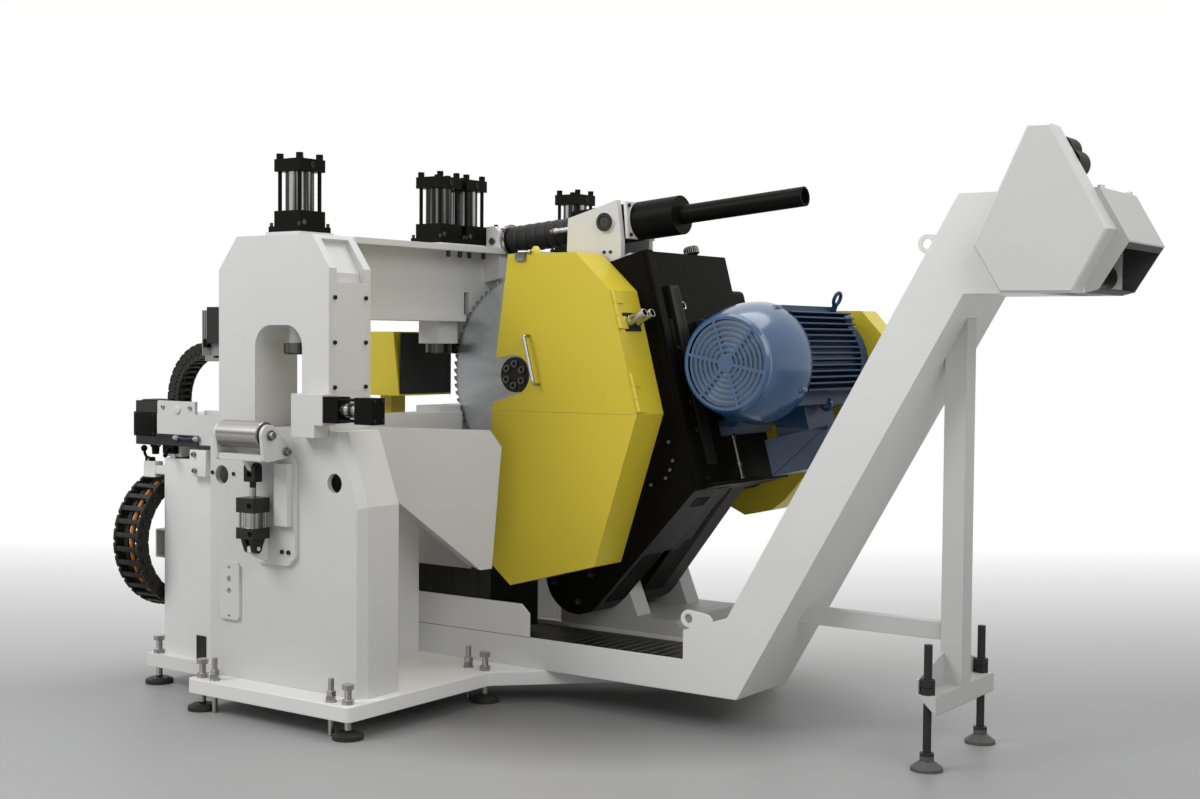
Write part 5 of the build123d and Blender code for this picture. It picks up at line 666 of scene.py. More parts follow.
# Bellows over the feed screw, between the bracket's collar and the nut block
SCREW_AT = Vector((-760.0, 160.0, 1690.0))
NUT_AT = Vector((-191.0, 160.0, 1742.0))
SCREW_WAY = (NUT_AT - SCREW_AT).normalized()
FOLD_FROM, FOLD_TO, FOLDS, LEAD, TAIL = 61.5, 393.5, 7, 3.0, 7.0
CREST, GROOVE, BORE, CUFF_R, CUFF = 53.4, 49.4, 49.0, 51.0, 6.0
fold_pitch = (FOLD_TO - FOLD_FROM - LEAD - TAIL) / FOLDS
fold_line = [(0.0, GROOVE), (0.02, 50.2), (0.10, 50.8), (0.4, 52.0), (0.7, 52.9), (0.84, CREST),
             (0.90, 52.8), (0.93, 51.6), (0.95, GROOVE), (0.98, BORE)]
folds = [(FOLD_FROM, BORE), (FOLD_FROM, GROOVE)]
for n in range(FOLDS):
    start = FOLD_FROM + LEAD + n * fold_pitch
    folds += [(start + share * fold_pitch, radius) for share, radius in fold_line]
folds += [(FOLD_TO - CUFF, CUFF_R), (FOLD_TO, CUFF_R), (FOLD_TO, BORE)]
bellows = done(lathe("bellows", folds, SCREW_AT, SCREW_WAY, 56), None, rubber, 40.0)
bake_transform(bellows)
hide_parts("feed_bellows")

# Cable chains: plates with pins, joined by bars. Shares of a plate's height, thickness or pitch
NECK, NECK_HIGH, POCKET_RIM, POCKET_DEPTH = 0.20, 0.55, 0.12, 0.22
PLATE_LONG, BAR_HALF, PIN_R, PIN_BORE = 0.78, 0.2, 0.17, 0.10


def side_plate(name, length, high, thick):
    """Chain plate with two narrowed ends and a stamped pocket on each face."""
    plate = block(name, (-length / 2, -thick / 2, -high / 2), (length / 2, thick / 2, high / 2))
    edit(plate)
    for way in (1, -1):
        facing((way, 0, 0))
        push(way * high * NECK, 0, 0)
        bpy.ops.transform.resize(value=(1, 1, NECK_HIGH))
    for way in (1, -1):
        facing((0, way, 0))
        inset(high * POCKET_RIM, -thick * POCKET_DEPTH)
    begin()
    return rounded(plate, thick * 0.10, 1)


def chain_link(name, pitch, high, wide, thick, bar):
    parts = []
    pin_r, bore = high * PIN_R, high * PIN_BORE
    pin_line = [(0, 0), (0, pin_r), (1.6, pin_r), (1.6, bore), (0.8, bore * 0.9), (0.8, 0)]
    for side in (-1, 1):
        plate = side_plate(name + "_plate", pitch * PLATE_LONG, high, thick)
        parts.append(moved(plate, Matrix.Translation((0, side * (wide - thick) / 2000, 0))))
        parts.append(lathe(name + "_pin", pin_line, (0, side * (wide / 2 - 0.6), 0), (0, side, 0), 16))
        bar_z = side * (high / 2 - 2 - bar / 2)
        rung = block(name + "_bar", (-pitch * BAR_HALF, thick - wide / 2, bar_z - bar / 2),
                     (pitch * BAR_HALF, wide / 2 - thick, bar_z + bar / 2))
        edit(rung)
        facing((0, 0, side))
        inset(2.0, 0.8)
        begin()
        parts.append(rounded(rung, 1.2, 2))
    return joined(name, parts)


# Large chain from the stand round to the carriage, with its cables
chain_low, chain_high = corners("cable_chain")
CHAIN_H, CHAIN_PITCH, UPPER_END = 55.0, 47.6, -500.0
CHAIN_R = (chain_high.z - chain_low.z - CHAIN_H) / 2
chain_mid = middle("cable_chain")
chain_mid.y = chain_low.y + CHAIN_R + CHAIN_H / 2
LOWER_FIRST, UPPER_FIRST, ROLL_IN = 26.0, 0.55, 60.0
CABLE_IN, LOWER_BEND, UPPER_BEND, BEND_POINTS = 2.0, 220.0, 60.0, 6


def chain_places():
    """Links along the lower run, round the bend and along the upper run."""
    along = Matrix.Rotation(pi / 2, 4, "Z")
    lower = int((chain_high.y - chain_mid.y) / CHAIN_PITCH)
    for n in range(lower):
        point = Vector((chain_mid.x, chain_high.y - LOWER_FIRST - n * CHAIN_PITCH, chain_mid.z - CHAIN_R))
        yield Matrix.Translation(point / 1000) @ along
    bend = round(pi * CHAIN_R / CHAIN_PITCH)
    for n in range(bend):
        angle = -pi / 2 - (n + 0.5) * pi / bend
        point = chain_mid + Vector((0, cos(angle), sin(angle))) * CHAIN_R
        yield Matrix.Translation(point / 1000) @ Matrix.Rotation(angle + pi / 2, 4, "X") @ along
    for n in range(int((UPPER_END - chain_mid.y) / CHAIN_PITCH)):
        point = chain_mid + Vector((0, (n + UPPER_FIRST) * CHAIN_PITCH, CHAIN_R))
        yield Matrix.Translation(point / 1000) @ along


def chain_route(x, lift):
    """Route of one cable through the large chain: control points outside the bend by its corner allowance."""
    reach = CHAIN_R + lift
    outside = reach / cos(pi / BEND_POINTS / 2)
    low, high = chain_mid.z - reach, chain_mid.z + reach
    route = [(x, chain_high.y - CABLE_IN, low), (x, chain_mid.y + LOWER_BEND, low)]
    for n in range(BEND_POINTS):
        angle = -pi / 2 - (n + 0.5) * pi / BEND_POINTS
        route.append((x, chain_mid.y + outside * cos(angle), chain_mid.z + outside * sin(angle)))
    return route + [(x, chain_mid.y + UPPER_BEND, high), (x, UPPER_END - CABLE_IN, high)]


link = chain_link("link", CHAIN_PITCH, CHAIN_H, chain_high.x - chain_low.x, 15.0, 7.0)
chain = repeated("cable_chain_links", link, list(chain_places()))
done(chain, None, black_plastic, 30.0)
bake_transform(chain)
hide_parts("cable_chain")
cable_low, cable_high = corners("chain_cables")
POWER_R, POWER_IN, POWER_LIFT = 9.0, 16.0, 6.0
power_route = chain_route(cable_high.x - POWER_R - POWER_IN, POWER_LIFT)
power_cables = done(cable("power_cables", power_route, POWER_R), None, orange_sheath, 50.0)
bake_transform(power_cables)
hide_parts("chain_cables")
THIN_R, THIN_CABLES, THIN_STEP, THIN_LIFT = 6.5, 4, 16.5, 2.0
thin = []
for n in range(THIN_CABLES):
    lift = THIN_LIFT if n % 2 else -THIN_LIFT
    thin.append(cable("control_cable", chain_route(cable_low.x + THIN_R + n * THIN_STEP, lift), THIN_R))
control_cables = done(joined("control_cables", thin), None, rubber, 50.0)
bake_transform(control_cables)

# Small chain from the carriage up and over to the gripper
cross_low, cross_high = corners("cross_chain")
CROSS_H, CROSS_PITCH, CROSS_Z = 56.0, 29.5, 1075.0
RISERS, RISER_FIRST, RISER_STEP, TOP_LINK_IN = 2, 13.0, 25.5, 22.0
CROSS_BEND = cross_high.z - CROSS_Z - CROSS_H / 2
cross_mid = Vector((cross_low.x + CROSS_BEND + CROSS_H / 2, (cross_low.y + cross_high.y) / 2, CROSS_Z))


def cross_places():
    """Links up from the carriage, round the quarter bend and along the top."""
    for n in range(RISERS):
        rise = cross_low.z + RISER_FIRST + n * RISER_STEP
        point = Vector((cross_mid.x - CROSS_BEND, cross_mid.y, rise))
        yield Matrix.Translation(point / 1000) @ Matrix.Rotation(-pi / 2, 4, "Y")
    bend = round(pi / 2 * CROSS_BEND / CROSS_PITCH)
    for n in range(bend):
        angle = pi - (n + 0.5) * pi / 2 / bend
        point = cross_mid + Vector((cos(angle), 0, sin(angle))) * CROSS_BEND
        yield Matrix.Translation(point / 1000) @ Matrix.Rotation(pi / 2 - angle, 4, "Y")
    point = Vector((cross_high.x - TOP_LINK_IN, cross_mid.y, cross_mid.z + CROSS_BEND))
    yield Matrix.Translation(point / 1000)


cross_link = chain_link("cross_link", CROSS_PITCH, CROSS_H, cross_high.y - cross_low.y, 9.0, 6.0)
cross_chain = repeated("cross_chain_links", cross_link, list(cross_places()))
done(cross_chain, None, black_plastic, 30.0)
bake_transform(cross_chain)
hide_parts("cross_chain")
CROSS_CABLE_R, CROSS_POINTS, BEND_LEAD = 7.0, 4, 8.0
CROSS_CABLES = ((-16.0, -3.0), (2.0, 2.0), (19.0, -1.0))
cross_cables = []
for y, lift in CROSS_CABLES:
    reach = CROSS_BEND + lift
    outside = reach / cos(pi / 4 / CROSS_POINTS)
    place = cross_mid + ALONG * y
    left, top = place.x - reach, place.z + reach
    route = [(left, place.y, cross_low.z + CABLE_IN), (left, place.y, cross_mid.z - BEND_LEAD)]
    for n in range(CROSS_POINTS):
        angle = pi - (n + 0.5) * pi / 2 / CROSS_POINTS
        route.append(place + Vector((cos(angle), 0, sin(angle))) * outside)
    route += [(place.x + BEND_LEAD, place.y, top), (cross_high.x - CABLE_IN, place.y, top)]
    cross_cables.append(cable("gripper_cable", route, CROSS_CABLE_R))
cross_cables = done(joined("gripper_cables", cross_cables), None, rubber, 50.0)
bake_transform(cross_cables)

# Portals: screwed covers on their right faces
portal_high = corners("infeed_portal")[1]
COVER_SCREWS_Y = (735.0, 884.0)
COVER_SCREWS_Z = (1146.0, 1297.0, 1448.0)
spots = [(portal_high.x, side * y, z) for side in (-1, 1) for y in COVER_SCREWS_Y for z in COVER_SCREWS_Z]
fitted("portal_cover_screws", cap_screw(7.5, 7.0), spots, RIGHT, "frame")

# Clamp cylinders: flange screws, end plugs and hose ports
clamp_axes = [middle("clamp_rod_%d" % n) for n in (1, 2, 3, 4)]
SEAT_Z = portal_high.z
FLANGE_T, FLANGE_SCREW, HEAD_HALF, PLUG_OFF = 20.0, 68.0, 61.5, 40.0
PLUG_Z, CAP_PORT_Z = SEAT_Z + 33.0, SEAT_Z + 231.0
spots = [(axis.x + a * FLANGE_SCREW, axis.y + b * FLANGE_SCREW, SEAT_Z + FLANGE_T)
         for axis in clamp_axes for a in (-1, 1) for b in (-1, 1)]
fitted("clamp_flange_screws", cap_screw(6.0, 13.0), spots, UP, "frame")
spots = [(axis.x + HEAD_HALF, axis.y - PLUG_OFF, PLUG_Z) for axis in clamp_axes]
fitted("clamp_head_plugs", cap_screw(9.0, 3.5), spots, RIGHT, "frame", worn_steel)
spots = [(axis.x + HEAD_HALF, axis.y, CAP_PORT_Z) for axis in clamp_axes]
fitted("clamp_cap_ports", port(10.0, 3.0), spots, RIGHT, "frame", rubber)

# Bridge beam: bolt ends under its top plate
beam_high = corners("bridge_beam")[1]
BEAM_BOLTS_Y, BEAM_BOLT_IN, BEAM_PLATE = (-176.0, -110.0, -55.0, 29.0), 35.0, 22.0
spots = [(beam_high.x - BEAM_BOLT_IN, y, beam_high.z - BEAM_PLATE) for y in BEAM_BOLTS_Y]
fitted("beam_bolts", hex_bolt(9.0, 32.0), spots, -UP, "frame")

# Side clamp: screws of its end cap
SIDE_FACE, SIDE_SCREW_Y, SIDE_SCREW_Z = corners("clamp_heads")[1].x, 20.0, 32.0
side_mid = middle("side_clamp_ram")
spots = [(SIDE_FACE, side_mid.y + a * SIDE_SCREW_Y, side_mid.z + b * SIDE_SCREW_Z)
         for a in (-1, 1) for b in (-1, 1)]
fitted("side_clamp_screws", cap_screw(6.0, 5.0), spots, RIGHT, "frame")

# Feed trunnion: bearing cover, flange of the nut block with its screws, sensor rod and bracket screws
PIN_FACE = corners("trunnion_bracket")[0].y
pin = Vector((NUT_AT.x, PIN_FACE, NUT_AT.z))
cover_grey = moulded("dark grey bearing cover", (0.035, 0.035, 0.030), 0.4)
seal_line = [(0, 21), (0, 34), (5, 34), (6.5, 32), (6.5, 23), (5, 21), (0, 21)]
done(lathe("trunnion_seal", seal_line, pin, FRONT, 44), "saw_head", rubber)
cover_line = [(0, 0), (0, 20.6), (3, 20.6), (4, 19), (4, 5), (1.8, 4.4), (1.8, 0)]
done(lathe("trunnion_cover", cover_line, pin, FRONT, 40), "saw_head", cover_grey)
FLANGE_FROM, FLANGE_TO, FLANGE_Y, FLANGE_Z, FIELD = 71.0, 83.0, 88.0, 68.0, 1.0
NUT_SCREW_Y, NUT_SCREW_Z = 74.0, 54.0
across = SCREW_WAY.cross(ALONG).normalized()
flange_box = (FLANGE_FROM, -FLANGE_Y, -FLANGE_Z), (FLANGE_TO, FLANGE_Y, FLANGE_Z)
flange = moved(pressed("nut_flange", *flange_box, RIGHT, 6.0, FIELD), own_frame(NUT_AT, SCREW_WAY, across))
done(flange, "nut", white_paint)
flange_face = NUT_AT + SCREW_WAY * (FLANGE_TO + FIELD)
spots = [flange_face + ALONG * a * NUT_SCREW_Y + across * b * NUT_SCREW_Z for a in (-1, 1) for b in (-1, 1)]
fitted("nut_block_screws", cap_screw(7.0, 7.0), spots, SCREW_WAY, "nut")
FOOT_SCREWS_X, FOOT_SCREW_IN, FOOT_SCREW_Z = (-196.0, -168.0), 8.0, 1633.0
spots = [(x, PIN_FACE + FOOT_SCREW_IN, FOOT_SCREW_Z) for x in FOOT_SCREWS_X]
fitted("trunnion_foot_screws", cap_screw(6.0, 5.0), spots, FRONT, "saw_head")
SENSOR_BACK, SENSOR_OFF = 172.0, 67.0
sensor_from = NUT_AT - SCREW_WAY * SENSOR_BACK + FRONT * SENSOR_OFF
sensor_line = [(0, 0), (0, 10), (78, 10), (80, 11.5), (92, 11.5), (96, 9), (106, 8), (106, 0)]
done(lathe("feed_sensor", sensor_line, sensor_from, -SCREW_WAY, 28), "nut", plated)
bracket_low, bracket_high = corners("feed_bracket")
BRACKET_SCREW_IN = 22.0
screws_y = (bracket_low.y + BRACKET_SCREW_IN, bracket_high.y - BRACKET_SCREW_IN)
spots = [(middle("feed_bracket").x, y, bracket_high.z) for y in screws_y]
fitted("feed_bracket_screws", cap_screw(8.0, 8.0), spots, UP, "frame")

# Blade guard: latch and pin on the door, lifting lug on top, two nozzles out of the side
GUARD_FACE, GUARD_TOP, GUARD_SIDE = -130.0, corners("guard_door")[1].z, 528.0
LATCH_BOX = (-459.0, GUARD_FACE - 11.0, GUARD_TOP - 27.0), (-415.0, GUARD_FACE, GUARD_TOP - 1.0)
LATCH_PIN = (-447.0, GUARD_FACE - 4.0, GUARD_TOP + 5.0)
LUG_BOX = (-404.0, GUARD_FACE + 5.0, GUARD_TOP - 4.0), (-350.0, GUARD_FACE + 13.0, GUARD_TOP + 4.0)
LUG_RISE, LUG_TIP = 22.0, 0.28
latch_grey = paint("grey latch paint", (0.15, 0.15, 0.148), 0.4, radius=0.0015)
done(pressed("door_latch", *LATCH_BOX, FRONT, 6.0, -3.0), "door", latch_grey)
pin_line = [(0, 0), (0, 5), (2, 6.5), (34, 6.5), (34, 5), (44, 5), (46, 7.5), (54, 7.5), (56, 6), (56, 0)]
done(lathe("door_latch_pin", pin_line, LATCH_PIN, RIGHT, 24), "door", plated)
lug = block("guard_lug", *LUG_BOX)
edit(lug)
facing(UP)
push(0, 0, LUG_RISE)
bpy.ops.transform.resize(value=(LUG_TIP, 1, 1))
begin()
done(rounded(lug, 1.5), "saw_head", yellow_paint)
NOZZLES, NOZZLE_W, NOZZLE_IN, NOZZLE_RISE = (-62.0, -14.0), 835.0, 8.0, 0.16
SLOT_Y, SLOT_W = 26.0, 34.0
nozzle_line = [(0, 0), (0, 16), (14, 16), (15, 19), (26, 19), (27, 16.5), (86, 16.5), (88, 15), (88, 12.5)]
nozzle_line += [(40, 12), (40, 0)]
nozzle_way = (HEAD_U + HEAD_W * NOZZLE_RISE).normalized()
places = [stood(head(GUARD_SIDE - NOZZLE_IN, NOZZLE_W, y), nozzle_way) for y in NOZZLES]
nozzles = repeated("guard_nozzles", lathe("nozzle", nozzle_line, steps=28), places)
done(nozzles, "saw_head", plated)
slot_low = (GUARD_SIDE - 1.0, NOZZLES[0] - SLOT_Y, NOZZLE_W - SLOT_W)
slot_high = (GUARD_SIDE + 2.5, NOZZLES[1] + SLOT_Y, NOZZLE_W + SLOT_W)
nozzle_slot = pressed("guard_nozzle_slot", slot_low, slot_high, RIGHT, 5.0, -1.5, 0.8)
done(moved(nozzle_slot, HEAD_FRAME), "saw_head", rubber)

# Blade flange: lighter rims of its screws
RIM_CIRCLE, RIM_SCREWS, RIM_FIRST = 40.3, 6, radians(12.0)
flange_mid = Vector((BLADE_CENTRE[0], corners("spindle")[0].y, BLADE_CENTRE[1]))
rim_line = [(0, 8.6), (0, 12.8), (0.6, 12.6), (1.0, 11.8), (1.0, 9.4), (0, 8.6)]
spots = []
for n in range(RIM_SCREWS):
    angle = RIM_FIRST + 2 * pi * n / RIM_SCREWS
    spots.append(flange_mid + (HEAD_U * cos(angle) + HEAD_W * sin(angle)) * RIM_CIRCLE)
rim = lathe("rim", rim_line, steps=28)
fitted("spindle_screw_rims", rim, spots, FRONT, "saw_spindle", worn_steel)

# Saw head: breather, guide rail, ring, screws, adjusting rod and pivot cover bolts
HEAD_FACE, HEAD_TOP, PLATE_FACE, HEAD_FRONT = 586.0, 1087.0, 598.0, 40.0
BREATHER, KNURLS = Vector((556.0, 430.0, HEAD_TOP)), 22
KNURL_BOX = (26.0, -2.0, 13.0), (30.0, 2.0, 37.0)
GUIDE_BOX = (HEAD_FACE, 138.0, 291.0), (PLATE_FACE + 9.0, 202.0, 956.0)
HEAD_RING, ADJUSTER = (HEAD_FACE + 4.0, 232.0, 884.0), (PLATE_FACE + 21.0, 328.0, 221.0)
FRONT_SCREWS = ((526, 396), (526, 327), (506, 298), (481, 273), (413, 263))
PLATE_SCREWS_W, PLATE_SCREW_Y = (242.0, 419.0, 521.0, 720.0), 119.0
PIVOT_BOLTS = ((-399, 404), (-234, 447), (-292, 339))
cap_line = [(0, 0), (0, 20), (8, 20), (10, 26), (12, 27), (38, 27), (41, 24), (41, 10), (43, 9), (43, 0)]
breather = moved(lathe("head_breather", cap_line, BREATHER, UP, 44), HEAD_FRAME)
done(breather, "saw_head", black_paint)
turns = [Matrix.Rotation(2 * pi * n / KNURLS, 4, "Z") for n in range(KNURLS)]
places = [HEAD_FRAME @ Matrix.Translation(BREATHER / 1000) @ turn for turn in turns]
knurls = repeated("head_breather_knurls", rounded(block("knurl", *KNURL_BOX), 0.8, 1), places)
done(knurls, "saw_head", plated)
rail_paint = paint("grey guide rail paint", (0.013, 0.013, 0.011), 0.4, radius=0.0015, dirt=0.1,
                   specular=0.15)
rail = moved(pressed("head_guide_rail", *GUIDE_BOX, RIGHT, 14.0, -4.0), HEAD_FRAME)
done(rail, "saw_head", rail_paint)
done(moved(ring("head_ring", HEAD_RING, RIGHT, 13.0, 3.5), HEAD_FRAME), "saw_head", plated)
spots = [head(u, w, HEAD_FRONT) for u, w in FRONT_SCREWS]
fitted("head_front_screws", cap_screw(7.0, 6.0), spots, FRONT, "saw_head", worn_steel)
spots = [head(PLATE_FACE, w, PLATE_SCREW_Y) for w in PLATE_SCREWS_W]
fitted("motor_plate_screws", cap_screw(8.0, 7.0), spots, HEAD_U, "saw_head")
rod_line = [(0, 0), (0, 13), (8, 13), (10, 7), (50, 7), (50, 12), (64, 12), (64, 7), (150, 7), (152, 10)]
rod_line += [(172, 10), (174, 9), (174, 0)]
adjuster = moved(lathe("belt_adjuster", rod_line, ADJUSTER, UP, 30), HEAD_FRAME)
done(adjuster, "saw_head", worn_steel)
spots = [(x, HEAD_FRONT, z) for x, z in PIVOT_BOLTS]
fitted("pivot_cover_bolts", hex_bolt(11.0, 12.0), spots, FRONT, "saw_head")

# Underside of the head: belly plate between its arms, and black plates that paint the shade of its drain
# opening, groove and the hollows of both arms
HUB_R = 139.0
ARM_GAP_FROM, ARM_GAP_TO, STRIP_TO = 200.0, 300.0, 74.0
BELLY_FROM, BELLY_END, HOLLOW_END = 4.0, 340.0, 598.0
GROOVE_FROM, GROOVE_TO, REAR_END, REAR_HOLLOW_END = 415.0, 450.0, 255.0, 508.0
SUNK, PROUD = -3.0, 2.4


def arm_slope(top_u, top_w):
    """Frame of an arm's underside, which runs from its top edge to the hub: down, along the rail and out."""
    lean = atan2(top_w, top_u) - acos(HUB_R / hypot(top_u, top_w))
    down = HEAD_U * sin(lean) - HEAD_W * cos(lean)
    return own_frame(head(top_u, top_w, 0.0), down, HEAD_U * cos(lean) + HEAD_W * sin(lean))


def painted_shade_plate(name, from_down, from_y, to_down, to_y, rim, slope):
    """Thin black plate with a pocket: painted shade that stands for an opening in the underside."""
    low, high = (from_down, from_y, SUNK), (to_down, to_y, PROUD)
    sink = moved(pressed(name, low, high, UP, rim, -1.0, 0.4), slope)
    return done(sink, "saw_head", shade_black)


front_slope, rear_slope = arm_slope(586.0, 204.0), arm_slope(496.0, 206.0)
belly_box = (BELLY_FROM, ARM_GAP_FROM, -16.0), (BELLY_END, ARM_GAP_TO, -1.0)
belly = moved(pressed("head_belly_plate", *belly_box, UP, 10.0, -1.0), front_slope)
done(belly, "saw_head", olive_paint)
# Painted shade: black plates stand for the openings and hollows under the head.
painted_shade_plate("head_drain_shade", 46.0, 104.0, 88.0, 196.0, 4.0, front_slope)
painted_shade_plate("head_arm_hollow_shade", BELLY_END + 4, STRIP_TO, HOLLOW_END, ARM_GAP_FROM - 1, 6.0, front_slope)
painted_shade_plate("head_belly_groove_shade", BELLY_FROM, GROOVE_FROM, REAR_END, GROOVE_TO, 6.0, rear_slope)
painted_shade_plate("head_rear_hollow_shade", REAR_END + 1, ARM_GAP_TO + 1, REAR_HOLLOW_END, GROOVE_TO, 6.0, rear_slope)

# Motor: fan plate behind the grille, cowl lugs with their screws and a second lifting eye
cowl_low, cowl_high = corners("motor_cowl")
motor_mid = middle("motor_cowl")
motor_mid.y = 0.0
FAN_PLATE_Y, LUG_REACH = cowl_low.y + 10.0, (cowl_high.x - cowl_low.x) / 2 - 5.0
LUGS, LUG_FIRST, LUG_LENGTH = 4, 65.0, 34.0
EYE_TURN, EYE_Y, EYE_REACH, SHANK_REACH = -46.0, 500.0, 210.0, 178.0


def round_motor(reach, turn, y):
    return motor_mid + Vector((reach * cos(radians(turn)), y, reach * sin(radians(turn))))


plate_line = [(0, 0), (0, 150), (2, 152), (4, 150), (6, 44), (9, 34), (24, 32), (24, 0)]
plate = lathe("fan_plate", plate_line, motor_mid + ALONG * FAN_PLATE_Y, ALONG, 64)
fan_grey = paint("grey blue fan paint", (0.34, 0.385, 0.45), 0.45, radius=0.0015)
done(plate, "rotor", fan_grey)
lug_turns = [LUG_FIRST + 360.0 * n / LUGS for n in range(LUGS)]
lug_line = [(0, 0), (0, 13), (30, 13), (LUG_LENGTH, 11), (LUG_LENGTH, 0)]
places = [stood(round_motor(LUG_REACH, turn, cowl_high.y), FRONT) for turn in lug_turns]
lugs = repeated("cowl_lugs", lathe("cowl lug", lug_line, steps=24), places)
done(lugs, "saw_head", blue_paint)
spots = [round_motor(LUG_REACH, turn, cowl_high.y - LUG_LENGTH) for turn in lug_turns]
fitted("cowl_screws", cap_screw(6.5, 6.0), spots, FRONT, "saw_head", bright_steel)
eye = ring("motor_eye_ring", round_motor(EYE_REACH, EYE_TURN, EYE_Y), ALONG, 20.0, 6.0)
shank_line = [(0, 0), (0, 11), (10, 11), (12, 6), (16, 6), (16, 0)]
shank_way = round_motor(1.0, EYE_TURN, 0.0) - motor_mid
shank = lathe("motor_eye_shank", shank_line, round_motor(SHANK_REACH, EYE_TURN, EYE_Y), shank_way, 18)
done(joined("motor_lifting_eye", [eye, shank]), "saw_head", blue_paint)

# Lift roller unit: axle nut, pin bolt, hose ports and bracket screws
axle = middle("lift_roller")
axle.x = corners("lift_roller")[1].x
ARM_PIN = (-797.0, -950.0, 926.0)
LIFT_PORTS = ((-901.0, lift_low.y, lift_high.z - 25.0), (-897.0, lift_low.y, lift_low.z + 70.0))
LIFT_SCREWS_X, LIFT_SCREW_Y, LIFT_SCREW_Z = (-843.0, -812.0), -924.0, corners("lift_bracket")[0].z + 48.0
fitted("roller_axle_nut", hex_bolt(14.0, 15.0), [axle], RIGHT, "roller", bolt_steel)
fitted("lift_arm_bolt", hex_bolt(12.0, 14.0), [ARM_PIN], RIGHT, "frame", bolt_steel)
fitted("lift_cylinder_ports", port(9.5, 3.0), LIFT_PORTS, FRONT, "lift_jack", shade_black)
spots = [(x, LIFT_SCREW_Y, LIFT_SCREW_Z) for x in LIFT_SCREWS_X]
fitted("lift_bracket_screws", cap_screw(7.5, 7.0), spots, FRONT, "frame")

# Infeed pedestal: screws beside its round opening
pedestal_low = corners("infeed_pedestal")[0]
PEDESTAL_SCREWS, PEDESTAL_SCREW_Z = (12.0, 120.0), 832.0
spots = [(pedestal_low.x + x, pedestal_low.y, PEDESTAL_SCREW_Z) for x in PEDESTAL_SCREWS]
fitted("pedestal_screws", cap_screw(7.0, 5.0), spots, FRONT, "frame")

# Rear guard: black plate on its right face, painted shade of the guard's open end
rear_low, rear_high = corners("rear_guard")
END_SHADE_HIGH, END_SHADE_IN, END_SHADE_T = 240.0, 4.0, 4.0
end_shade_low = (rear_high.x, rear_low.y + END_SHADE_IN, rear_high.z - END_SHADE_HIGH)
end_shade_high = (rear_high.x + END_SHADE_T, rear_high.y - END_SHADE_IN, rear_high.z - END_SHADE_IN)
# Painted shade: the black plate stands for the dark open end of the guard.
end_shade = pressed("rear_guard_end_shade", end_shade_low, end_shade_high, RIGHT, 9.0, -1.5)
done(end_shade, "frame", rubber)

# Side stand: stop block over the rail end, cable outlet, and an arm with its clamping lever
STAND_FRONT, STAND_LEFT, ARM_Y, ARM_TOP = -776.0, -1626.0, -756.0, 838.0
STOP_BOX = (-1452.0, STAND_FRONT - 30.0, 798.0), (-1362.0, STAND_FRONT, 896.0)
STOP_SCREWS, STOP_FACE = ((-1424.0, 880.0), (-1420.0, 820.0)), STAND_FRONT - 31.0
OUTLET_BOX = (-1447.0, STAND_FRONT - 3.0, 112.0), (-1395.0, STAND_FRONT, 205.0)
PAD_BOX = (-1747.0, ARM_Y - 20.0, 778.0), (-1681.0, ARM_Y + 20.0, ARM_TOP)
BAR_BOX = (-1690.0, ARM_Y - 17.0, 791.0), (STAND_LEFT, ARM_Y + 17.0, 824.0)
done(pressed("stand_stop_block", *STOP_BOX, FRONT, 5.0, 1.0, 3.0), "frame", lit_white_paint)
spots = [(x, STOP_FACE, z) for x, z in STOP_SCREWS]
fitted("stand_stop_screws", cap_screw(10.0, 11.0), spots, FRONT, "frame", bolt_steel)
done(pressed("stand_cable_outlet", *OUTLET_BOX, FRONT, 5.0, -2.0, 0.8), "frame", rubber)
pad = pressed("arm_pad", *PAD_BOX, FRONT, 6.0, -2.0, 2.0)
bar = pressed("arm_bar", *BAR_BOX, FRONT, 5.0, 1.0, 2.0)
done(joined("stand_arm", [pad, bar]), "frame", lit_white_paint)
LEVER_HUB, LEVER_KNOB = (-1722.0, ARM_Y, ARM_TOP), (-1767.0, ARM_Y, 872.0)
LEVER_STEM = (-1754.0, ARM_Y, 779.0)
KNOB_R, KNOB_STEPS = 12.5, 12
hub = lathe("lever_hub", [(0, 0), (0, 13), (12, 13), (15, 10), (15, 0)], LEVER_HUB, UP, 28)
handle_route = [(-1722, ARM_Y, 847), (-1740, ARM_Y, 848), (-1762, ARM_Y, 856), (-1766, ARM_Y, 876)]
handle = cable("lever_handle", handle_route, 5.5)
ball_turns = [pi * n / KNOB_STEPS for n in range(KNOB_STEPS + 1)]
ball = [(KNOB_R - KNOB_R * cos(turn), KNOB_R * sin(turn)) for turn in ball_turns]
knob = lathe("lever_knob", ball, LEVER_KNOB, UP, 28)
stem = lathe("lever_stem", [(0, 0), (0, 4), (2, 5), (70, 5), (72, 4), (72, 0)], LEVER_STEM, UP, 20)
done(joined("stand_lever", [hub, handle, knob, stem]), "frame", black_paint)

# Slide rails: brackets under their overhang, and the clamp that closes the front end of the outer rail
rails_low, rails_high = corners("slide_rails")
RAIL_W, STAND_BACK, SHELF_TOP = 28.0, -STAND_FRONT, rails_low.z
SHELF_T, SHELF_HALF, SHELF_SHORT = 14.0, 24.0, 12.0
WEB_HIGH, WEB_HALF, WEB_SHORT, WEB_TIP = 180.0, 5.0, 30.0, 0.12
web_top = SHELF_TOP - SHELF_T
shelf_high = (SHELF_HALF, rails_high.y - SHELF_SHORT, SHELF_TOP)
shelf = pressed("rail_shelf", (-SHELF_HALF, STAND_BACK, web_top), shelf_high, -UP, 6.0, -2.0, 2.0)
web_low = (-WEB_HALF, STAND_BACK, SHELF_TOP - WEB_HIGH)
web = block("rail_web", web_low, (WEB_HALF, rails_high.y - WEB_SHORT, web_top + 1))
edit(web)
facing(ALONG)
tip = Vector((0, rails_high.y, web_top)) / 1000
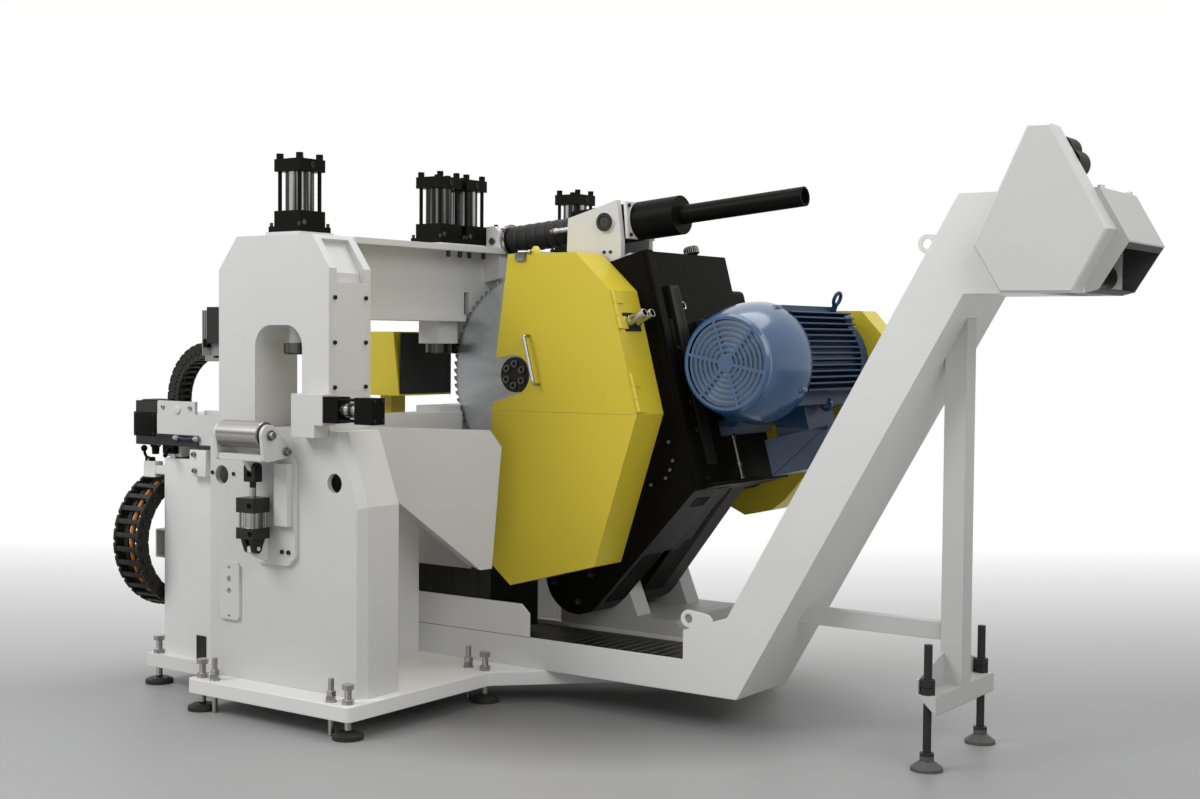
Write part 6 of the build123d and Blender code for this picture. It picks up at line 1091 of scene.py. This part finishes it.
bpy.ops.transform.resize(value=(1, 1, WEB_TIP), center_override=tip)
begin()
bracket = joined("rail_bracket", [shelf, rounded(web, 1.5)])
places = [Matrix.Translation((x / 1000, 0, 0)) for x in (rails_low.x + RAIL_W / 2, rails_high.x - RAIL_W / 2)]
done(repeated("slide_rail_brackets", bracket, places), "frame", lit_white_paint)
SHOE_FRONT, GRIP_WAY = -772.0, (0.55, -0.75, -0.35)
CLAMP_BOX = (-1612.0, SHOE_FRONT - 26.0, 874.0), (-1550.0, SHOE_FRONT, 912.0)
clamp = pressed("rail_clamp_body", *CLAMP_BOX, FRONT, 6.0, -3.0, 2.0)
grip_line = [(0, 0), (0, 8), (6, 8), (8, 5.5), (30, 6.5), (52, 9), (58, 7), (60, 0)]
grip = lathe("rail_clamp_handle", grip_line, (-1580, SHOE_FRONT - 24, 890), GRIP_WAY, 24)
done(joined("rail_end_clamp", [clamp, grip]), "frame", black_paint)

# Side carriage: servo drive, plate screws and button, a black strip painting the shadow gap under its plate,
# air tube and fittings
carriage_low = corners("side_carriage")[0]
CARRIAGE_FRONT = carriage_low.y
SERVO_BOX = (carriage_low.x - 12.0, CARRIAGE_FRONT + 2.0, 934.0), (-1645.0, -694.0, 1027.0)
TERMINAL_BOX = (-1736.0, -795.0, 1058.0), (-1632.0, -706.0, 1071.5)
SERVO_PLUG, PLATE_BUTTON = (-1690.0, -765.0, 936.0), (-1521.0, CARRIAGE_FRONT, 1040.0)
SERVO_SCREWS_X, SERVO_SCREWS_Z = (14.0, 118.0), (946.0, 1015.0)
CARRIAGE_SCREWS = ((-1602.0, CARRIAGE_FRONT, 1049.0), (-1452.0, CARRIAGE_FRONT, 1049.0))
SHADOW_STRIP_BOX = (-1640.0, CARRIAGE_FRONT - 4.0, 906.0), (-1404.0, CARRIAGE_FRONT, 948.0)
servo = pressed("servo_housing", *SERVO_BOX, FRONT, 12.0, 2.5, 5.0)
terminal = pressed("servo_terminal", *TERMINAL_BOX, UP, 8.0, 3.0, 2.0)
plug_line = [(0, 0), (0, 24), (14, 24), (16, 20), (40, 20), (44, 15), (70, 13), (70, 0)]
plug = lathe("servo_plug", plug_line, SERVO_PLUG, -UP, 26)
done(joined("servo_drive", [servo, terminal, plug]), "carriage", black_paint)
servo_left, servo_front = SERVO_BOX[0][:2]
spots = [(servo_left + x, servo_front, z) for x in SERVO_SCREWS_X for z in SERVO_SCREWS_Z]
fitted("servo_screws", cap_screw(6.0, 5.0), spots, FRONT, "carriage")
fitted("carriage_plate_screws", cap_screw(8.0, 7.0), CARRIAGE_SCREWS, FRONT, "carriage",
       bright_steel)
button_line = [(0, 0), (0, 17), (3, 17), (6, 13), (7, 0)]
button = lathe("carriage_plate_button", button_line, PLATE_BUTTON, FRONT, 30)
done(button, "carriage", white_paint)
# Painted shadow: a thin black strip stands for the shadow gap under the carriage plate.
done(pressed("carriage_shadow_strip", *SHADOW_STRIP_BOX, FRONT, 4.0, -1.5, 0.8), "carriage", rubber)
TUBE_Y, TUBE_Z, TUBE_R = CARRIAGE_FRONT - 9.0, 936.0, 6.0
tube_route = [(-1512, TUBE_Y, TUBE_Z), (-1494, TUBE_Y, TUBE_Z), (-1463, TUBE_Y - 1, TUBE_Z - 4),
              (-1432, TUBE_Y, TUBE_Z), (-1414, TUBE_Y, TUBE_Z)]
done(cable("air_tube", tube_route, TUBE_R), "carriage", blue_tube, 50.0)
fitting_line = [(0, 0), (0, 9), (10, 9), (11, 11), (19, 11), (20, 8), (26, 7.4), (26, 0)]
places = [stood((-1530, TUBE_Y, TUBE_Z), RIGHT), stood((-1396, TUBE_Y, TUBE_Z), -RIGHT)]
fittings = repeated("air_fittings", lathe("fitting", fitting_line, steps=20), places)
done(fittings, "carriage", plated)

# Gripper: ribs of its plate and the boss beside the actuator
grip_low = corners("gripper_slide")[0]
PLATE_FRONT, PLATE_LOW, PLATE_HIGH = -797.0, 1243.0, 1409.0
RIBS, RIB_STEP, RIB_IN, RIB_W, RIB_T, RIB_PROUD = 5, 9.5, 5.0, 4.5, 3.0, 2.8
BOSS_BOX = (-1366.0, grip_low.y, 1272.0), (-1344.0, PLATE_FRONT, 1304.0)
gripper_grey = paint("grey gripper paint", GRIPPER_GREY, 0.4, specular=0.3)
rib = rounded(block("rib", (0, 0, 0), (RIB_W, RIB_T, PLATE_HIGH - PLATE_LOW - 6)), 1.0, 1)
rib_from = Vector((grip_low.x + RIB_IN, PLATE_FRONT - RIB_PROUD, PLATE_LOW + 3))
places = [Matrix.Translation((rib_from + RIGHT * n * RIB_STEP) / 1000) for n in range(RIBS)]
done(repeated("gripper_ribs", rib, places), "gripper", gripper_grey)
done(pressed("gripper_boss", *BOSS_BOX, FRONT, 5.0, -5.0), "gripper", black_paint)

# Conveyor: bolts of the hood, strip curtain over the trough and the screen behind the blade
hood_low, hood_high = corners("discharge_hood")
casing_low = corners("conveyor_casing")[0]
HOOD_BOLT_IN, HOOD_BOLTS_Y = 18.0, (hood_low.y + 70.0, hood_high.y - 14.0)
STRIPS, STRIP, STRIP_T, STRIP_GAP, STRIP_LAP = 6, 60.0, 4.5, 1.0, 1.2
CURTAIN_LOW, CURTAIN_TOP, CURTAIN_X, CURTAIN_Y = 300.0, 452.0, casing_low.x + 4.0, casing_low.y + 6.2
SCREEN_BOX = (corners("rail_bed")[1].x, 44.0, 232.0), (-486.0, 50.0, 500.0)
spots = [(hood_low.x + HOOD_BOLT_IN, y, hood_high.z) for y in HOOD_BOLTS_Y]
fitted("hood_bolts", hex_bolt(11.0, 11.0), spots, UP, "frame", white_paint)
strip = rounded(block("strip", (0, 0, 0), (STRIP, STRIP_T, CURTAIN_TOP - CURTAIN_LOW)), 1.2, 2)
spots = [(CURTAIN_X + n * (STRIP + STRIP_GAP), CURTAIN_Y + STRIP_LAP * (n % 2), CURTAIN_LOW)
         for n in range(STRIPS)]
curtain = repeated("chip_curtain", strip, [stood(spot) for spot in spots])
done(curtain, "frame", rubber)
done(pressed("chip_screen", *SCREEN_BOX, FRONT, 18.0, -1.5, 1.0), "frame", rubber)

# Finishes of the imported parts
for part in frame["record"]["subparts"]:
    piece = frame["nodes"][part["node"]]
    piece.data.materials.clear()
    piece.data.materials.append(own_finishes.get(part["node"], finishes[part["material_slot"]]))

# Studio: pale floor with a painted shadow round the machine, turning white away from it, soft lamps and a
# white surround
CAMERA_AT, LENS, SENSOR = (3.2296, -4.8374, 1.320), 48.87, 36.0
YAW, PITCH, ROLL = radians(35.11), radians(-2.170), radians(0.476)
FLOOR_SIZE, SURROUND_LIGHT = 80, 0.25
begin()
bpy.ops.mesh.primitive_plane_add(size=FLOOR_SIZE, location=(0, 0, 0))
floor = named("studio floor")
material, wire, place = begin_finish("pale studio floor")
cloud = place.noise(0.9, 5.0, 0.6)
grit = place.noise(60.0, 4.0, 0.6)
depth = place.axis("X") * -sin(YAW) + place.axis("Y") * cos(YAW)
reach = wire.maths("POWER", place.axis("X") * place.axis("X") + place.axis("Y") * place.axis("Y"), 0.5)
fade = wire.maths("MAXIMUM", depth.between(0.2, 4.5), reach.between(5.0, 11.0))
shade = cloud.mixed((0.33, 0.33, 0.335, 1), (0.37, 0.37, 0.37, 1))
# Painted shadow: the floor is painted darker in a soft patch round the machine and under the conveyor.
beside = place.stretched((0.62, 0.72, 1), (0.24, 0, 0))
spread = beside.axis("X") * beside.axis("X") + beside.axis("Y") * beside.axis("Y")
shade = (1.0 - spread.between(0.15, 0.62)).mixed(shade, (0.16, 0.16, 0.162, 1))
bump = wire.node("Bump", {}, {"Strength": 0.05, "Distance": 0.001, "Height": grit})
near = wire.node("BsdfPrincipled", {}, {
    "Base Color": shade, "Roughness": 0.42 + cloud * 0.12, "Normal": bump, "Specular IOR Level": 0.25})
far = wire.node("Emission", {}, {"Color": (1, 1, 1, 1), "Strength": 1.0})
wire.node("OutputMaterial", {}, {"Surface": wire.node("MixShader", {}, {0: fade, 1: near, 2: far})})
floor.data.materials.append(material)


def lamp(name, place, aim, size, power):
    begin()
    bpy.ops.object.light_add(type="AREA", location=place)
    light = bpy.context.object
    light.name = name
    light.data.shape = "DISK"
    light.data.size = size
    light.data.energy = power
    light.rotation_euler = (Vector(aim) - Vector(place)).to_track_quat("-Z", "Y").to_euler()


lamp("left softbox", (-2.9, -4.8, 4.9), (-0.4, 0, 1.0), 3.5, 212)
lamp("right softbox", (5.2, -3.0, 4.6), (0.5, 0, 0.9), 4.0, 128)
lamp("top softbox", (0.2, 0.8, 6.0), (0.0, 0.0, 0.6), 5.0, 190)

world = bpy.data.worlds.new("white studio")
bpy.context.scene.world = world
world.use_nodes = True
world.node_tree.nodes.clear()
wire = Wire(world.node_tree)
seen = wire.node("LightPath", {}, {}, "Is Camera Ray")
for kind in ("Is Glossy Ray", "Is Transmission Ray"):
    seen = seen + wire.node("LightPath", {}, {}, kind)
plain = wire.node("Background", {}, {"Color": (1, 1, 1, 1), "Strength": SURROUND_LIGHT})
white = wire.node("Background", {}, {"Color": (1, 1, 1, 1), "Strength": 1.0})
wire.node("OutputWorld", {}, {"Surface": wire.node("MixShader", {}, {0: seen.clamped(), 1: plain, 2: white})})

scene = bpy.context.scene
scene.view_settings.view_transform = "Standard"
begin()
bpy.ops.object.camera_add(location=CAMERA_AT)
camera = bpy.context.object
camera.name = "photo camera"
camera.data.sensor_width = SENSOR
camera.data.lens = LENS
turn = Matrix.Rotation(YAW, 4, "Z") @ Matrix.Rotation(pi / 2 + PITCH, 4, "X")
camera.rotation_euler = (turn @ Matrix.Rotation(ROLL, 4, "Z")).to_euler()
scene.camera = camera
